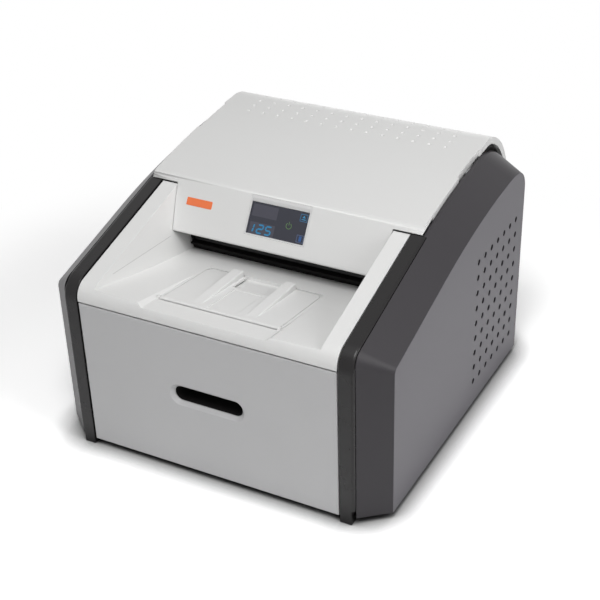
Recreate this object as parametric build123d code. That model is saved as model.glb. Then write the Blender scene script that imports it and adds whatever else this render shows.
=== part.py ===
from build123d import *
import os
from math import acos, atan, cos, degrees, pi, radians, sin, sqrt, tan

# Tabletop dry film imager, in millimetres. +Z is up, the front faces -Y, +X is to the right.
# While it is modelled, y = 0 is the face of the drawer front. Every piece is moved back by
# footprint_middle when it is written, so the origin stands on the floor at the footprint's middle.

# Casing widths, from the middle outwards
front_half_width = 235.0
trim_side_gap = 2.5
trim_width = 25.5
side_bevel = 47.0
trim_inner = front_half_width + trim_side_gap
trim_outer = trim_inner + trim_width
cover_outer = trim_outer + side_bevel

# Casing heights and the sloping line from the front bend to the hood
floor_clearance = 12.0
front_bottom = 11.5
front_top = 281.5
seam = 3.0
slope_rise = 0.3096
slope_height = front_top + 28.8
slope_end = 261.0
skin = 3.0
part_gap = 0.4

# Trims
trim_proud = 0.5
trim_depth = 27.0
trim_rise = 2.0
trim_drop = 27.0
trim_bend = 40.0
trim_inner_bend = 14.0
trim_round = 5.0
foot_step = 5.0
foot_height = 27.0

# Side covers: front, crest and rear of the inner contour, then of the outer one
side_front = 5.0
side_bend = 24.0
side_crest_start = (500.0, 434.0)
side_crest_end = (572.0, 416.0)
side_rear = (642.0, 366.0)
outer_front = 43.5
outer_slope_height = 267.0
outer_slope_end = 230.0
outer_crest_start = (530.0, 391.5)
outer_crest_end = (570.0, 386.5)
outer_rear = (599.0, 348.0)
outer_bend = 11.0
side_lip_gap = 0.8

# Vent grid of the side covers
vent_radius = 5.7
vent_sides = 12
vent_pitch = 30.0
vent_columns = 7
vent_rows = 9
vent_first = (380.0, 60.0)

# Hood contour and skin
hood_inset = 7.0
hood_half_width = trim_outer - hood_inset
panel_foot = (217.5, 322.0)
panel_crease = (221.5, 330.5)
hood_corner = (266.8, 404.6)
hood_brow = (401.6, 432.0)
hood_crest = (538.0, 449.9)
hood_arc_centre = (519.3, 321.7)
hood_arc_radius = 134.0
hood_shoulder_angle = 65.88
hood_shoulder = hood_arc_centre[1] + hood_arc_radius * sin(radians(hood_shoulder_angle))
hood_bottom = 345.0
hood_corner_round = 14.0
hood_rim = 12.0
hood_rim_width = 7.0
panel_return = 9.0
panel_foot_round = 3.2
panel_gap = 1.2
grip_front = 410.0
grip_rear = 503.0
grip_depth = 3.0

# Hinge of the hood
hinge_y = 640.0
hinge_z = 352.0
hinge_pin_radius = 4.0
hinge_knuckle_radius = 7.5
hinge_x = 190.0
hinge_ear = 8.0
hinge_bracket_sheet = 3.0
hinge_arm_radius = 5.6
hinge_arm_lean = 8.0
running_gap = 0.05
side_play = 0.4

# Cheek wall of the exit tray, a plane through this point
cheek_inner = 205.8
cheek_point = (259.4, 392.6)
cheek_lean_y = 0.0600
cheek_lean_z = 0.1943

# Exit tray
tray_front_bottom = front_top + seam
tray_bend = 30.0
tray_floor_front = front_top + 21.2
tray_floor_fall = 0.116
ledge_inner = 112.0
ledge_top = 122.0
ledge_rise = 6.5
ledge_corner_rise = 8.0
ledge_depth = 160.0
tray_back = 261.0
tray_skirt_front = 20.0
tray_skirt_bottom = 255.0

# Exit guide behind the tray
guide_sheet = 3.0
guide_bottom = 262.0
guide_top = 330.0
exit_slot_half_width = 182.0
exit_slot_height = 14.0
guide_lip = 10.0
guide_flange = 12.0

# Film stop flap, seated in a recess of the tray floor
flap_half_width = 108.0
flap_axis_y = 51.0
flap_length = 146.0
flap_thickness = 2.5
flap_bar_radius = 3.0
flap_bar_gap = 2.5
flap_lug_radius = 4.5
flap_lug_width = 4.0
flap_pin_radius = 1.4
flap_pin_reach = 2.0
flap_middle_length = 100.0
flap_slot_half_width = 34.0
flap_panel_margin = 8.0
flap_panel_depth = 1.0
flap_rib_inner = 40.0
flap_rib_width = 20.0
flap_rib_front = 16.0
flap_rib_height = 11.5
flap_rib_round = 2.0
flap_corner = 12.0
recess_margin = 0.8
recess_depth = 6.0

# Display in the sloping user panel
display_half_width = 57.5
display_foot = 14.0
display_height = 68.0
display_rim = 2.5
display_band = 11.0
display_depth = 8.0
display_seat = 1.5
glass_thickness = 2.0
glass_sink = 2.4
board_thickness = 1.6
fit_gap = 0.2
seat_gap = 0.3

# Drawer front
drawer_front_depth = 16.0
handle_height = 156.5
handle_half_width = 63.5
handle_opening = 28.0
handle_flare = 6.0
handle_flare_depth = 6.0
handle_cup_depth = 34.0
handle_cup_wall = 2.0
handle_boss = 12.0
handle_corner = 13.5
drawer_edge_round = 2.0

# Side frames and base
frame_inner = 226.0
frame_sheet = 2.5
frame_front = 30.0
frame_bottom = 17.0
frame_drop = 3.7
frame_shelf_start = 250.0
frame_shelf_end = 540.0
frame_rear_top = 325.0
base_sheet = 2.0
base_rim = 18.0
base_front = 27.0
rear_face = 642.0
rear_sheet = 2.0
rear_panel_top = 328.0
rear_flange = 30.0
foot_radius = 16.0
foot_tip_radius = 13.0
foot_x = 205.0
foot_front_y = 70.0
foot_rear_y = 590.0

# Drawer, slides and film
slide_sheet = 2.0
slide_nest = 0.5
slide_bar_width = 9.0
tray_half_width = frame_inner - 2 * (slide_sheet + slide_nest) - slide_bar_width
drawer_rear = 505.0
drawer_bottom = 28.0
drawer_sheet = 2.0
drawer_wall_top = 88.0
drawer_wall_front_top = 255.0
slide_middle = 59.0
slide_bar_height = 18.0
slide_front = 30.0
slide_length = 470.0
slide_flange = 5.0
film_half_width = 177.0
film_length = 430.0
cartridge_wall = 3.0
cartridge_margin = 6.0
cartridge_height = 52.0
cartridge_front = 30.0
film_stack_height = 28.0

# Optics module
optics_half_width = 205.0
optics_front = 70.0
optics_rear = 360.0
optics_bottom = 145.0
optics_top = 212.0
optics_wall = 5.0
optics_lid = 3.0
scan_height = 182.0
scan_slit = 6.0
scan_slit_half_width = 180.0
mirror_radius = 30.0
mirror_height = 12.0
mirror_faces = 8
scanner_x = -60.0
scanner_y = 150.0
scanner_radius = 24.0
scanner_height = 24.0
scanner_shaft = 3.0
lens_half_width = 70.0
lens_y = 215.0
lens_depth = 16.0
lens_bulge = 8.0
lens_height = 24.0
diode_x = 60.0
diode_length = 32.0
diode_radius = 6.0
diode_block = 18.0

# Film transport rollers
roller_radius = 9.0
roller_half_length = 185.0
journal_radius = 4.0
nip_gap = 0.3
exit_roller_y = 276.0
exit_nip_height = 294.0
feed_nip_y = 536.5
feed_roller_height = 118.0
upper_feed_height = 262.0
film_gap = 7.0
film_guide_sheet = 1.5
cooling_front = 287.0
cooling_rear = 388.0
cooling_front_z = 289.0
cooling_rear_z = 300.0
cooling_ear_rear = 360.0
cooling_sheet = 2.0
cooling_flange = 16.0

# Bars between the side frames: (front, rear, bottom)
bar_height = 12.0
bars = {
    "front_optics": (95.0, 115.0, 133.0),
    "rear_optics": (320.0, 340.0, 133.0),
    "processor": (440.0, 470.0, 216.0),
    "rear": (575.0, 600.0, 208.0),
}

# Heated drum and its pressure rollers
drum_y = 455.0
drum_z = 325.0
drum_radius = 65.0
drum_wall = 5.0
drum_half_length = 200.0
drum_shaft = 8.0
pressure_rollers = 4
pressure_radius = 8.0
pressure_first = 15.0
pressure_step = 46.0
pressure_journal = 3.0
pressure_half_length = 192.0
plate_x = 205.0
plate_sheet = 3.0
plate_round = 88.0
plate_foot_front = 400.0
plate_foot_rear = 510.0
gear_module = 2.5
gear_teeth = 56
pinion_teeth = 10
gear_width = 9.0
gear_start = 212.0
gear_rim = 8.0
gear_hub = 16.0
gear_web = 3.0
pressure_angle = 25.0
tooth_addendum = 0.8
tooth_dedendum = 1.15
gear_backlash = 0.35
flank_points = 3
motor_angle = -110.0
motor_radius = 15.0
motor_length = 42.0
motor_shaft = 3.0

# Pickup arm with suction cups
pickup_y = 300.0
pickup_z = 120.0
pickup_shaft = 4.0
pickup_reach = 140.0
pickup_half_width = 130.0
pickup_bar = 8.0
cup_radius = 12.0
cup_neck_radius = 6.0
cup_height = 14.0
cup_bottom = 95.0
cup_positions = (-120.0, -40.0, 40.0, 120.0)

# Rear equipment
fan_x = -140.0
fan_z = 262.0
fan_size = 80.0
fan_depth = 25.0
fan_hub = 17.0
fan_blade_radius = 35.0
fan_bore = 38.0
fan_blades = 7
fan_pitch_angle = 35.0
fan_spoke = 4.0
fan_floor = 3.0
grille_slots = 7
grille_pitch = 9.0
grille_slot = 5.0
inlet_x = 175.0
inlet_z = 85.0
inlet_width = 27.0
inlet_height = 20.0
inlet_depth = 20.0
inlet_flange = 1.6
inlet_pin_reach = 15.0
rocker_x = 128.0
rocker_width = 18.0
rocker_height = 26.0
rocker_depth = 12.0
rocker_proud = 2.0
rocker_margin = 2.5
rocker_rear = 4.0
rocker_wall = 3.0
rocker_pin = 1.5
port_x = -100.0
port_z = 85.0
port_width = 16.0
port_height = 13.5
port_wall = 1.2
supply_x = (-45.0, 95.0)
supply_y = (560.0, 636.0)
supply_height = 92.0
board_x = (-215.0, -60.0)
board_z = (40.0, 200.0)
board_stand_off = 10.0
stand_off_radius = 3.0
filter_x = (60.0, 210.0)
filter_y = (560.0, 636.0)
filter_height = 98.0

pieces = {}


def box(x0, x1, y0, y1, z0, z1):
    """Block between two corners."""
    return Pos((x0 + x1) / 2, (y0 + y1) / 2, (z0 + z1) / 2) * Box(x1 - x0, y1 - y0, z1 - z0)


def rod(x0, x1, y, z, radius):
    """Round bar along X."""
    return Pos((x0 + x1) / 2, y, z) * Rot(0, 90, 0) * Cylinder(radius, x1 - x0)


def upright(x, y, z0, z1, radius):
    """Round post along Z."""
    return Pos(x, y, (z0 + z1) / 2) * Cylinder(radius, z1 - z0)


def side_plane(x):
    """Drawing plane across X, with its own axes along Y and Z."""
    return Plane((x, 0, 0), x_dir=(0, 1, 0), z_dir=(1, 0, 0))


def outline(corners):
    """Closed outline through (y, z, radius) corners."""
    ends = []
    count = len(corners)
    for i, (y, z, radius) in enumerate(corners):
        corner = Vector(y, z)
        before = (Vector(*corners[i - 1][:2]) - corner).normalized()
        after = (Vector(*corners[(i + 1) % count][:2]) - corner).normalized()
        if radius > 0:
            half = radians(before.get_angle(after)) / 2
            cut = radius / tan(half)
            bulge = (before + after).normalized() * (radius / sin(half) - radius)
            ends.append((corner + before * cut, corner + bulge, corner + after * cut))
        else:
            ends.append((corner, None, corner))
    edges = []
    for i, (start, middle, end) in enumerate(ends):
        edges.append(Edge.make_line(ends[i - 1][2], start))
        if middle is not None:
            edges.append(Edge.make_three_point_arc(start, middle, end))
    return make_face(edges)


def slab(face, x0, x1):
    """A side outline given thickness along X."""
    return extrude(side_plane(x0) * face, amount=x1 - x0)


def mirrored(shape):
    """The same piece on the other side of the machine."""
    return mirror(shape, about=Plane.YZ)


def polyhedron(points, faces):
    """Closed solid with flat faces; each face lists its corners."""
    corners = [Vector(*p) for p in points]
    return Solid(Shell([Face(Wire.make_polygon([corners[i] for i in f])) for f in faces]))


def slope_z(y):
    """Height of the sloping line that trims, cheeks and side covers share."""
    return slope_height + slope_rise * y


def cheek_wall_x(y, z):
    """Half width between the cheek walls at a point of the tray."""
    return cheek_inner - cheek_lean_y * (y - cheek_point[0]) + cheek_lean_z * (z - cheek_point[1])


def tray_floor_z(y):
    """Height of the exit tray's floor."""
    return tray_floor_front - tray_floor_fall * y


def rear_most():
    """Furthest point of the hood's rear curve."""
    drop = hood_bottom - hood_arc_centre[1]
    return hood_arc_centre[0] + sqrt(hood_arc_radius**2 - drop**2)


footprint_middle = (rear_most() - trim_proud) / 2
tray_angle = degrees(atan(tray_floor_fall))


# Side covers


def side_contour(front, bottom, line_height, line_end, bend, crest_start, crest_end, rear, inset):
    """Closed side contour, drawn inwards by inset."""
    top = line_height - inset * sqrt(1 + slope_rise**2)
    corner = Vector(front + inset, top + slope_rise * (front + inset))
    along = Vector(1, slope_rise).normalized()
    radius = bend - inset
    cut = radius * tan((pi / 2 - atan(slope_rise)) / 2)
    start = corner - Vector(0, 1) * cut
    end = corner + along * cut
    centre = start + Vector(radius, 0)
    middle = centre + (corner - centre).normalized() * radius
    line_stop = Vector(line_end, top + slope_rise * line_end)
    crest = Vector(crest_start[0], crest_start[1] - inset)
    shoulder = Vector(crest_end[0] - 0.3 * inset, crest_end[1] - inset)
    back = Vector(rear[0] - inset, rear[1])
    low_back = Vector(rear[0] - inset, bottom + inset)
    low_front = Vector(front + inset, bottom + inset)
    brow = Edge.make_tangent_arc(line_stop, along, crest)
    crown = Edge.make_tangent_arc(crest, brow % 1, shoulder)
    return make_face(
        [
            Edge.make_line(low_front, start),
            Edge.make_three_point_arc(start, middle, end),
            Edge.make_line(end, line_stop),
            brow,
            crown,
            Edge.make_tangent_arc(shoulder, crown % 1, back),
            Edge.make_line(back, low_back),
            Edge.make_line(low_back, low_front),
        ]
    )


def inner_contour(inset):
    """Contour of a side cover where it meets the trim."""
    return side_contour(
        side_front,
        floor_clearance,
        slope_height,
        slope_end,
        side_bend,
        side_crest_start,
        side_crest_end,
        side_rear,
        inset,
    )


def outer_contour(inset):
    """Contour of a side cover's flat outer face."""
    return side_contour(
        outer_front,
        floor_clearance,
        outer_slope_height,
        outer_slope_end,
        outer_bend,
        outer_crest_start,
        outer_crest_end,
        outer_rear,
        inset,
    )


def make_side_cover():
    """Right side cover: a bevelled shell with a vent grid and a lip beside the hood."""
    mouth = trim_outer + part_gap
    hood_side = hood_half_width + side_lip_gap
    outside = loft(
        [side_plane(mouth) * inner_contour(0), side_plane(cover_outer) * outer_contour(0)],
        ruled=True,
    )
    inside = loft(
        [
            side_plane(mouth - 0.01) * inner_contour(skin),
            side_plane(cover_outer - skin) * outer_contour(skin),
        ],
        ruled=True,
    )
    lip = slab(inner_contour(0) - inner_contour(skin), hood_side, mouth)
    lip -= box(hood_side - 1, mouth + 1, 0, slope_end + 1, 0, cover_outer * 2)
    lip -= box(hood_side - 1, mouth + 1, 0, rear_face * 2, 0, floor_clearance + skin + 1)
    shell = outside - inside + lip
    vents = []
    for column in range(vent_columns):
        for row in range(vent_rows):
            y = vent_first[0] + column * vent_pitch
            z = vent_first[1] + row * vent_pitch
            place = side_plane(cover_outer - skin - 2) * Pos(y, z)
            vents.append(extrude(place * RegularPolygon(vent_radius, vent_sides), amount=skin + 4))
    return shell - vents


# Trims


def make_trim():
    """Right trim: one bar from the foot, over the front bend and up to the hood."""
    front = -trim_proud
    back = front + trim_depth
    rise = trim_rise
    profile = outline(
        [
            (front, foot_height, 0),
            (front, slope_z(front) + rise, trim_bend),
            (slope_end, slope_z(slope_end) + rise, 0),
            (slope_end, slope_z(slope_end) + rise - trim_drop, 0),
            (back, slope_z(back) + rise - trim_drop, trim_inner_bend),
            (back, foot_height, 0),
        ]
    )
    bar = slab(profile, trim_inner, trim_outer)
    outer_edges = [
        e
        for e in bar.edges()
        if abs(e.center().X - trim_outer) < 0.01
        and e.center().Y < slope_end - 1
        and (e.center().Z > slope_z(e.center().Y) - 20 or e.center().Y < front + 1)
    ]
    bar = fillet(outer_edges, trim_round)
    foot = box(trim_inner, trim_outer - foot_step, front, back, 0, foot_height + 0.01)
    return bar + foot


# Hood


def hood_arc_point(height):
    """Point of the hood's rear curve at a height."""
    rise = height - hood_arc_centre[1]
    return Vector(hood_arc_centre[0] + sqrt(hood_arc_radius**2 - rise**2), height)


def hood_line():
    """Open side contour of the hood, from the panel's foot over the crest to the rear edge."""
    foot = Vector(*panel_foot)
    crease = Vector(*panel_crease)
    corner = Vector(*hood_corner)
    crest = Vector(*hood_crest)
    shoulder = hood_arc_point(hood_shoulder)
    inward = foot + Vector(panel_return, -2)
    rear_middle = hood_arc_point((hood_shoulder + hood_bottom) / 2)
    roof = Edge.make_three_point_arc(corner, Vector(*hood_brow), crest)
    edges = [
        Edge.make_line(inward, foot),
        Edge.make_line(foot, crease),
        Edge.make_line(crease, corner),
        roof,
        Edge.make_tangent_arc(crest, roof % 1, shoulder),
        Edge.make_three_point_arc(shoulder, rear_middle, hood_arc_point(hood_bottom)),
    ]
    wire = Wire(edges)
    corner_vertex = wire.vertices().sort_by_distance((*hood_corner, 0))[0]
    wire = wire.fillet_2d(hood_corner_round, [corner_vertex])
    foot_vertex = wire.vertices().sort_by_distance((*panel_foot, 0))[0]
    return wire.fillet_2d(panel_foot_round, [foot_vertex])


def hood_band(depth):
    """Strip of the hood contour, depth thick towards the inside."""
    return make_face(offset(hood_line(), amount=depth, side=Side.RIGHT).edges())


def cheek_block(side, gap):
    """Everything outside one cheek wall and under the trims' tops, grown by gap."""
    rear = hood_corner[0] + panel_return * 4
    block = box(cheek_inner / 2, trim_outer, panel_foot[0] / 2, rear, panel_foot[1] / 2, hood_crest[1])
    wall = Plane(
        origin=(cheek_inner - gap, *cheek_point),
        z_dir=(1, cheek_lean_y, -cheek_lean_z),
    )
    top = Plane(origin=(0, 0, slope_z(0) + trim_rise + gap), z_dir=(0, -slope_rise, 1))
    block = split(block, bisect_by=wall, keep=Keep.TOP)
    block = split(block, bisect_by=top, keep=Keep.BOTTOM)
    return block if side > 0 else mirrored(block)


panel_direction = (Vector(*hood_corner) - Vector(*panel_crease)).normalized()
panel_angle = degrees(atan(panel_direction.Y / panel_direction.X))


def panel_frame(along, depth):
    """Place on the user panel: along it from its crease, and depth under its face."""
    y = panel_crease[0] + panel_direction.X * along + panel_direction.Y * depth
    z = panel_crease[1] + panel_direction.Y * along - panel_direction.X * depth
    return Location((0, y, z), (panel_angle, 0, 0))


def make_hood():
    """Hood and user panel in one moulding, with its end rims and hinge ears."""
    shell = slab(hood_band(skin), -hood_half_width, hood_half_width)
    rim = slab(hood_band(hood_rim), hood_half_width - hood_rim_width, hood_half_width)
    grip = box(
        hood_half_width - grip_depth,
        hood_half_width + 1,
        grip_front,
        grip_rear,
        hood_brow[1] - hood_rim * 2,
        hood_crest[1] + 10,
    )
    shell = shell + rim + mirrored(rim)
    shell -= grip + mirrored(grip)
    for side in (-1, 1):
        shell -= cheek_block(side, panel_gap)
    window = panel_frame(display_foot + display_height / 2, 0) * Box(
        2 * display_half_width, display_height, skin * 10
    )
    shell -= window
    knuckle = rod(0, hinge_ear, hinge_y, hinge_z, hinge_knuckle_radius)
    line = hood_line()
    cavity = slab(make_face([*line.edges(), Edge.make_line(line @ 1, line @ 0)]), 0, hinge_ear)
    ear = cavity & box(0, hinge_ear, hinge_y - 28, rear_face + 10, hinge_z, hood_crest[1])
    ear = ear + knuckle - slab(hood_band(0.2), 0, hinge_ear)
    ear -= rod(-1, hinge_ear + 1, hinge_y, hinge_z, hinge_pin_radius + running_gap)
    for side in (-1, 1):
        shell += Pos(side * hinge_x - hinge_ear / 2, 0, 0) * ear
    return shell


# Exit tray


def floor_frame(along, height):
    """Place on the tray floor: along it from the flap's axis, and height above it."""
    rise = sin(radians(tray_angle))
    run = cos(radians(tray_angle))
    y = flap_axis_y + along * run + height * rise
    z = tray_floor_z(flap_axis_y) - along * rise + height * run
    return Location((0, y, z), (-tray_angle, 0, 0))


def make_ledge(drop):
    """Raised wedge between the floor and the right cheek wall, lowered by drop."""
    front = -1.0
    wall_front = cheek_wall_x(front, slope_height) + 2 * skin
    wall_rear = cheek_wall_x(ledge_depth, tray_floor_z(ledge_depth)) + 2 * skin
    low_front = tray_floor_z(front) - drop
    low_rear = tray_floor_z(ledge_depth) - drop
    points = [
        (ledge_inner, front, low_front),
        (ledge_top, front, low_front + ledge_rise),
        (wall_front, front, low_front + ledge_corner_rise),
        (ledge_inner + skin, ledge_depth, low_rear),
        (wall_rear, ledge_depth, low_rear),
        (ledge_inner, front, low_front - skin),
        (wall_front, front, low_front - skin),
        (ledge_inner + skin, ledge_depth, low_rear - skin),
        (wall_rear, ledge_depth, low_rear - skin),
    ]
    faces = [
        (0, 5, 6, 2, 1),
        (0, 1, 3),
        (1, 2, 3),
        (2, 4, 3),
        (2, 6, 8, 4),
        (0, 3, 7, 5),
        (3, 4, 8, 7),
        (5, 7, 8, 6),
    ]
    return polyhedron(points, faces)


def tray_pocket(grow):
    """Space above the tray floor and between its walls, its faces moved outwards by grow."""
    space = box(-trim_outer, trim_outer, -skin * 4, tray_back + skin * 4, guide_bottom, cover_outer * 2)
    floor = Plane(origin=(0, 0, tray_floor_z(0) - grow), z_dir=(0, tray_floor_fall, 1))
    space = split(space, bisect_by=floor, keep=Keep.TOP)
    ledge = make_ledge(grow)
    for side in (-1, 1):
        wall = Plane(
            origin=(side * (cheek_inner + grow), *cheek_point),
            z_dir=(side, cheek_lean_y, -cheek_lean_z),
        )
        space = split(space, bisect_by=wall, keep=Keep.BOTTOM)
        space -= ledge if side > 0 else mirrored(ledge)
    half = flap_half_width + recess_margin + grow
    front = -flap_bar_radius - flap_bar_gap - grow
    rear = flap_length + flap_bar_radius + recess_margin + grow
    depth = recess_depth + grow
    return space + floor_frame(0, 0) * box(-half, half, front, rear, -depth, depth)


def tray_profile(inset, bottom, rear):
    """Side outline of the exit tray cover, drawn inwards by inset."""
    lift = slope_height - inset * sqrt(1 + slope_rise**2)
    return outline(
        [
            (inset, bottom, 0),
            (inset, lift + slope_rise * inset, tray_bend - inset),
            (rear, lift + slope_rise * rear, 0),
            (rear, tray_skirt_bottom, 0),
            (tray_skirt_front, tray_skirt_bottom, 0),
            (tray_skirt_front, bottom, 0),
        ]
    )


def make_exit_tray():
    """Exit tray cover: cheeks, floor, ledges and flap lugs in one moulding, open below."""
    half = front_half_width
    body = slab(tray_profile(0, tray_front_bottom, tray_back), -half, half)
    hollow = slab(tray_profile(skin, tray_front_bottom, tray_back), skin - half, half - skin)
    hollow += box(skin - half, half - skin, skin, tray_back, tray_skirt_bottom, tray_front_bottom)
    hollow += box(skin - half, half - skin, tray_back - 1, tray_back + 1, tray_skirt_bottom, slope_height)
    body = body - tray_pocket(0) - (hollow - tray_pocket(skin))
    axis = floor_frame(0, 0).position
    lug_inner = flap_half_width + recess_margin
    for side in (-1, 1):
        middle = side * (lug_inner + flap_lug_width / 2)
        body += Pos(middle, 0, 0) * rod(
            -flap_lug_width / 2, flap_lug_width / 2, axis.Y, axis.Z, flap_lug_radius
        )
    reach = lug_inner + flap_pin_reach
    return body - rod(-reach, reach, axis.Y, axis.Z, flap_pin_radius + running_gap)


def make_flap():
    """Film stop flap: a ribbed plate on a bar, with an open end between its ribs."""
    plate = box(-flap_half_width, flap_half_width, 0, flap_length, -flap_thickness, 0)
    plate = fillet(plate.edges().filter_by(Axis.Z).sort_by(Axis.Y)[-2:], flap_corner)
    slot = box(
        -flap_slot_half_width,
        flap_slot_half_width,
        flap_middle_length,
        flap_length + 1,
        -flap_thickness - 1,
        1,
    )
    panel = box(
        flap_panel_margin - flap_slot_half_width,
        flap_slot_half_width - flap_panel_margin,
        flap_panel_margin,
        flap_middle_length - flap_panel_margin,
        -flap_panel_depth,
        1,
    )
    plate = plate - slot - panel
    wedge = outline(
        [
            (flap_rib_front, -flap_thickness / 2, 0),
            (flap_rib_front, 0, 0),
            (flap_length - 1, flap_rib_height, flap_rib_round),
            (flap_length, -flap_thickness / 2, 0),
        ]
    )
    rib = slab(wedge, flap_rib_inner, flap_rib_inner + flap_rib_width)
    rib_tops = [e for e in rib.edges() if e.length > flap_length / 2 and e.center().Z > flap_thickness]
    rib = fillet(rib_tops, flap_rib_round)
    reach = flap_half_width + recess_margin + flap_pin_reach - side_play
    bar = rod(-flap_half_width, flap_half_width, 0, 0, flap_bar_radius)
    flap = plate + rib + mirrored(rib) + bar + rod(-reach, reach, 0, 0, flap_pin_radius)
    return floor_frame(0, 0) * flap


def make_exit_guide():
    """Dark plate behind the tray with the slot that film comes out of."""
    front = tray_back + 1
    half = frame_inner - seat_gap
    plate = box(-half, half, front, front + guide_sheet, guide_bottom, guide_top)
    low = exit_nip_height - exit_slot_height / 2
    slot = box(
        -exit_slot_half_width,
        exit_slot_half_width,
        front - 1,
        front + guide_sheet + 1,
        low,
        low + exit_slot_height,
    )
    lip = box(
        -exit_slot_half_width,
        exit_slot_half_width,
        front - guide_lip,
        front + guide_sheet,
        low - guide_sheet,
        low,
    )
    flange = box(half - guide_sheet, half, front, front + guide_flange, guide_bottom, guide_top)
    journal_reach = roller_radius * 3
    flange -= box(
        half - guide_sheet - 1,
        half + 1,
        front + guide_sheet,
        front + guide_flange + 1,
        exit_nip_height - journal_reach,
        exit_nip_height + journal_reach,
    )
    return plate - slot + lip + flange + mirrored(flange)


# Display


def make_display():
    """Bezel, glass and board, all placed in the window of the user panel."""
    centre = display_foot + display_height / 2
    half_height = display_height / 2
    half = display_half_width - fit_gap
    reach = half_height - fit_gap
    glass_low = display_rim - half_height
    glass_high = half_height - display_band
    bezel = box(-half, half, -reach, reach, -display_depth, 0)
    opening_half = display_half_width - display_rim
    bezel -= box(-opening_half, opening_half, glass_low, glass_high, -display_depth - 1, 1)
    band = outline(
        [
            (glass_high - 1, 1, 0),
            (half_height - display_rim + 1 / glass_sink, 1, 0),
            (glass_high, -glass_sink, 0),
            (glass_high - 1, -glass_sink, 0),
        ]
    )
    bezel -= slab(band, -opening_half, opening_half)
    seat_half = opening_half + display_seat
    bezel -= box(
        -seat_half,
        seat_half,
        glass_low - display_seat,
        glass_high + display_seat,
        -display_depth - 1,
        -glass_sink,
    )
    inside = seat_half - fit_gap
    low = glass_low - display_seat + fit_gap
    high = glass_high + display_seat - fit_gap
    glass = box(-inside, inside, low, high, -glass_sink - glass_thickness, -glass_sink)
    board_front = -glass_sink - glass_thickness - seat_gap
    board = box(-inside, inside, low, high, board_front - board_thickness, board_front)
    place = panel_frame(centre, 0)
    return place * bezel, place * glass, place * board


# Film drawer


def rounded_window(half_width, half_height, corner, y):
    """Upright rounded rectangle across Y, at the height of the handle."""
    plane = Plane((0, y, handle_height), x_dir=(1, 0, 0), z_dir=(0, -1, 0))
    return plane * RectangleRounded(2 * half_width, 2 * half_height, corner)


def make_drawer_front():
    """Drawer front: an open-backed moulding with a flared handle slot."""
    half = front_half_width
    body = box(-half, half, 0, drawer_front_depth, front_bottom, front_top)
    face_edges = body.faces().sort_by(Axis.Y)[0].edges()
    body = fillet(face_edges, drawer_edge_round)
    body -= box(
        skin - half,
        half - skin,
        skin,
        drawer_front_depth + 1,
        front_bottom + skin,
        front_top - skin,
    )
    tall = handle_opening / 2
    body += box(
        -handle_half_width - handle_boss,
        handle_half_width + handle_boss,
        skin / 2,
        drawer_front_depth,
        handle_height - tall - handle_boss,
        handle_height + tall + handle_boss,
    )
    for x in (-half + skin, -half / 2, half / 2, half - skin):
        body += box(
            x - skin / 2,
            x + skin / 2,
            skin / 2,
            drawer_front_depth,
            front_bottom + skin / 2,
            front_top - skin / 2,
        )
    flare = loft(
        [
            rounded_window(
                handle_half_width + handle_flare,
                tall + handle_flare,
                handle_corner + handle_flare,
                0,
            ),
            rounded_window(handle_half_width, tall, handle_corner, handle_flare_depth),
        ],
        ruled=True,
    )
    through = extrude(
        rounded_window(handle_half_width, tall, handle_corner, handle_flare_depth - 1),
        amount=-drawer_front_depth,
    )
    socket = extrude(
        rounded_window(
            handle_half_width + handle_cup_wall + fit_gap,
            tall + handle_cup_wall + fit_gap,
            handle_corner + handle_cup_wall,
            handle_flare_depth + handle_cup_wall,
        ),
        amount=-drawer_front_depth,
    )
    return body - flare - through - socket


def make_handle_cup():
    """Finger cup behind the handle slot."""
    tall = handle_opening / 2
    mouth = handle_flare_depth + handle_cup_wall + fit_gap
    outside = extrude(
        rounded_window(
            handle_half_width + handle_cup_wall,
            tall + handle_cup_wall,
            handle_corner + handle_cup_wall,
            mouth,
        ),
        amount=-handle_cup_depth,
    )
    inside = extrude(
        rounded_window(handle_half_width, tall, handle_corner, mouth - 1),
        amount=1 - handle_cup_depth + handle_cup_wall,
    )
    return outside - inside


def make_drawer_tray():
    """Folded sheet tray: floor, low sides and rear, and a tall front wall."""
    half = tray_half_width
    front = drawer_front_depth
    bottom = drawer_bottom
    sheet = drawer_sheet
    tray = box(-half, half, front, drawer_rear, bottom, bottom + sheet)
    for side in (-1, 1):
        x = side * (half - sheet / 2)
        tray += box(x - sheet / 2, x + sheet / 2, front, drawer_rear, bottom, drawer_wall_top)
    tray += box(-half, half, drawer_rear - sheet, drawer_rear, bottom, drawer_wall_top)
    tray += box(-half, half, front, front + sheet, bottom, drawer_wall_front_top)
    margin = handle_cup_wall + part_gap
    return tray - box(
        -handle_half_width - margin,
        handle_half_width + margin,
        front - 1,
        front + sheet + 1,
        handle_height - handle_opening / 2 - margin,
        handle_height + handle_opening / 2 + margin,
    )


def make_cartridge():
    """Open-topped film cartridge that lies on the drawer's floor."""
    half = film_half_width + cartridge_margin + cartridge_wall
    rear = cartridge_front + film_length + 2 * (cartridge_margin + cartridge_wall)
    low = drawer_bottom + drawer_sheet
    body = box(-half, half, cartridge_front, rear, low, low + cartridge_height)
    body = fillet(body.edges().filter_by(Axis.Z), cartridge_wall * 2)
    return body - box(
        cartridge_wall - half,
        half - cartridge_wall,
        cartridge_front + cartridge_wall,
        rear - cartridge_wall,
        low + cartridge_wall,
        low + cartridge_height + 1,
    )


def make_film_stack():
    """Stack of film in the cartridge."""
    low = drawer_bottom + drawer_sheet + cartridge_wall
    front = cartridge_front + cartridge_wall + cartridge_margin
    return box(
        -film_half_width, film_half_width, front, front + film_length, low, low + film_stack_height
    )


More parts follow.
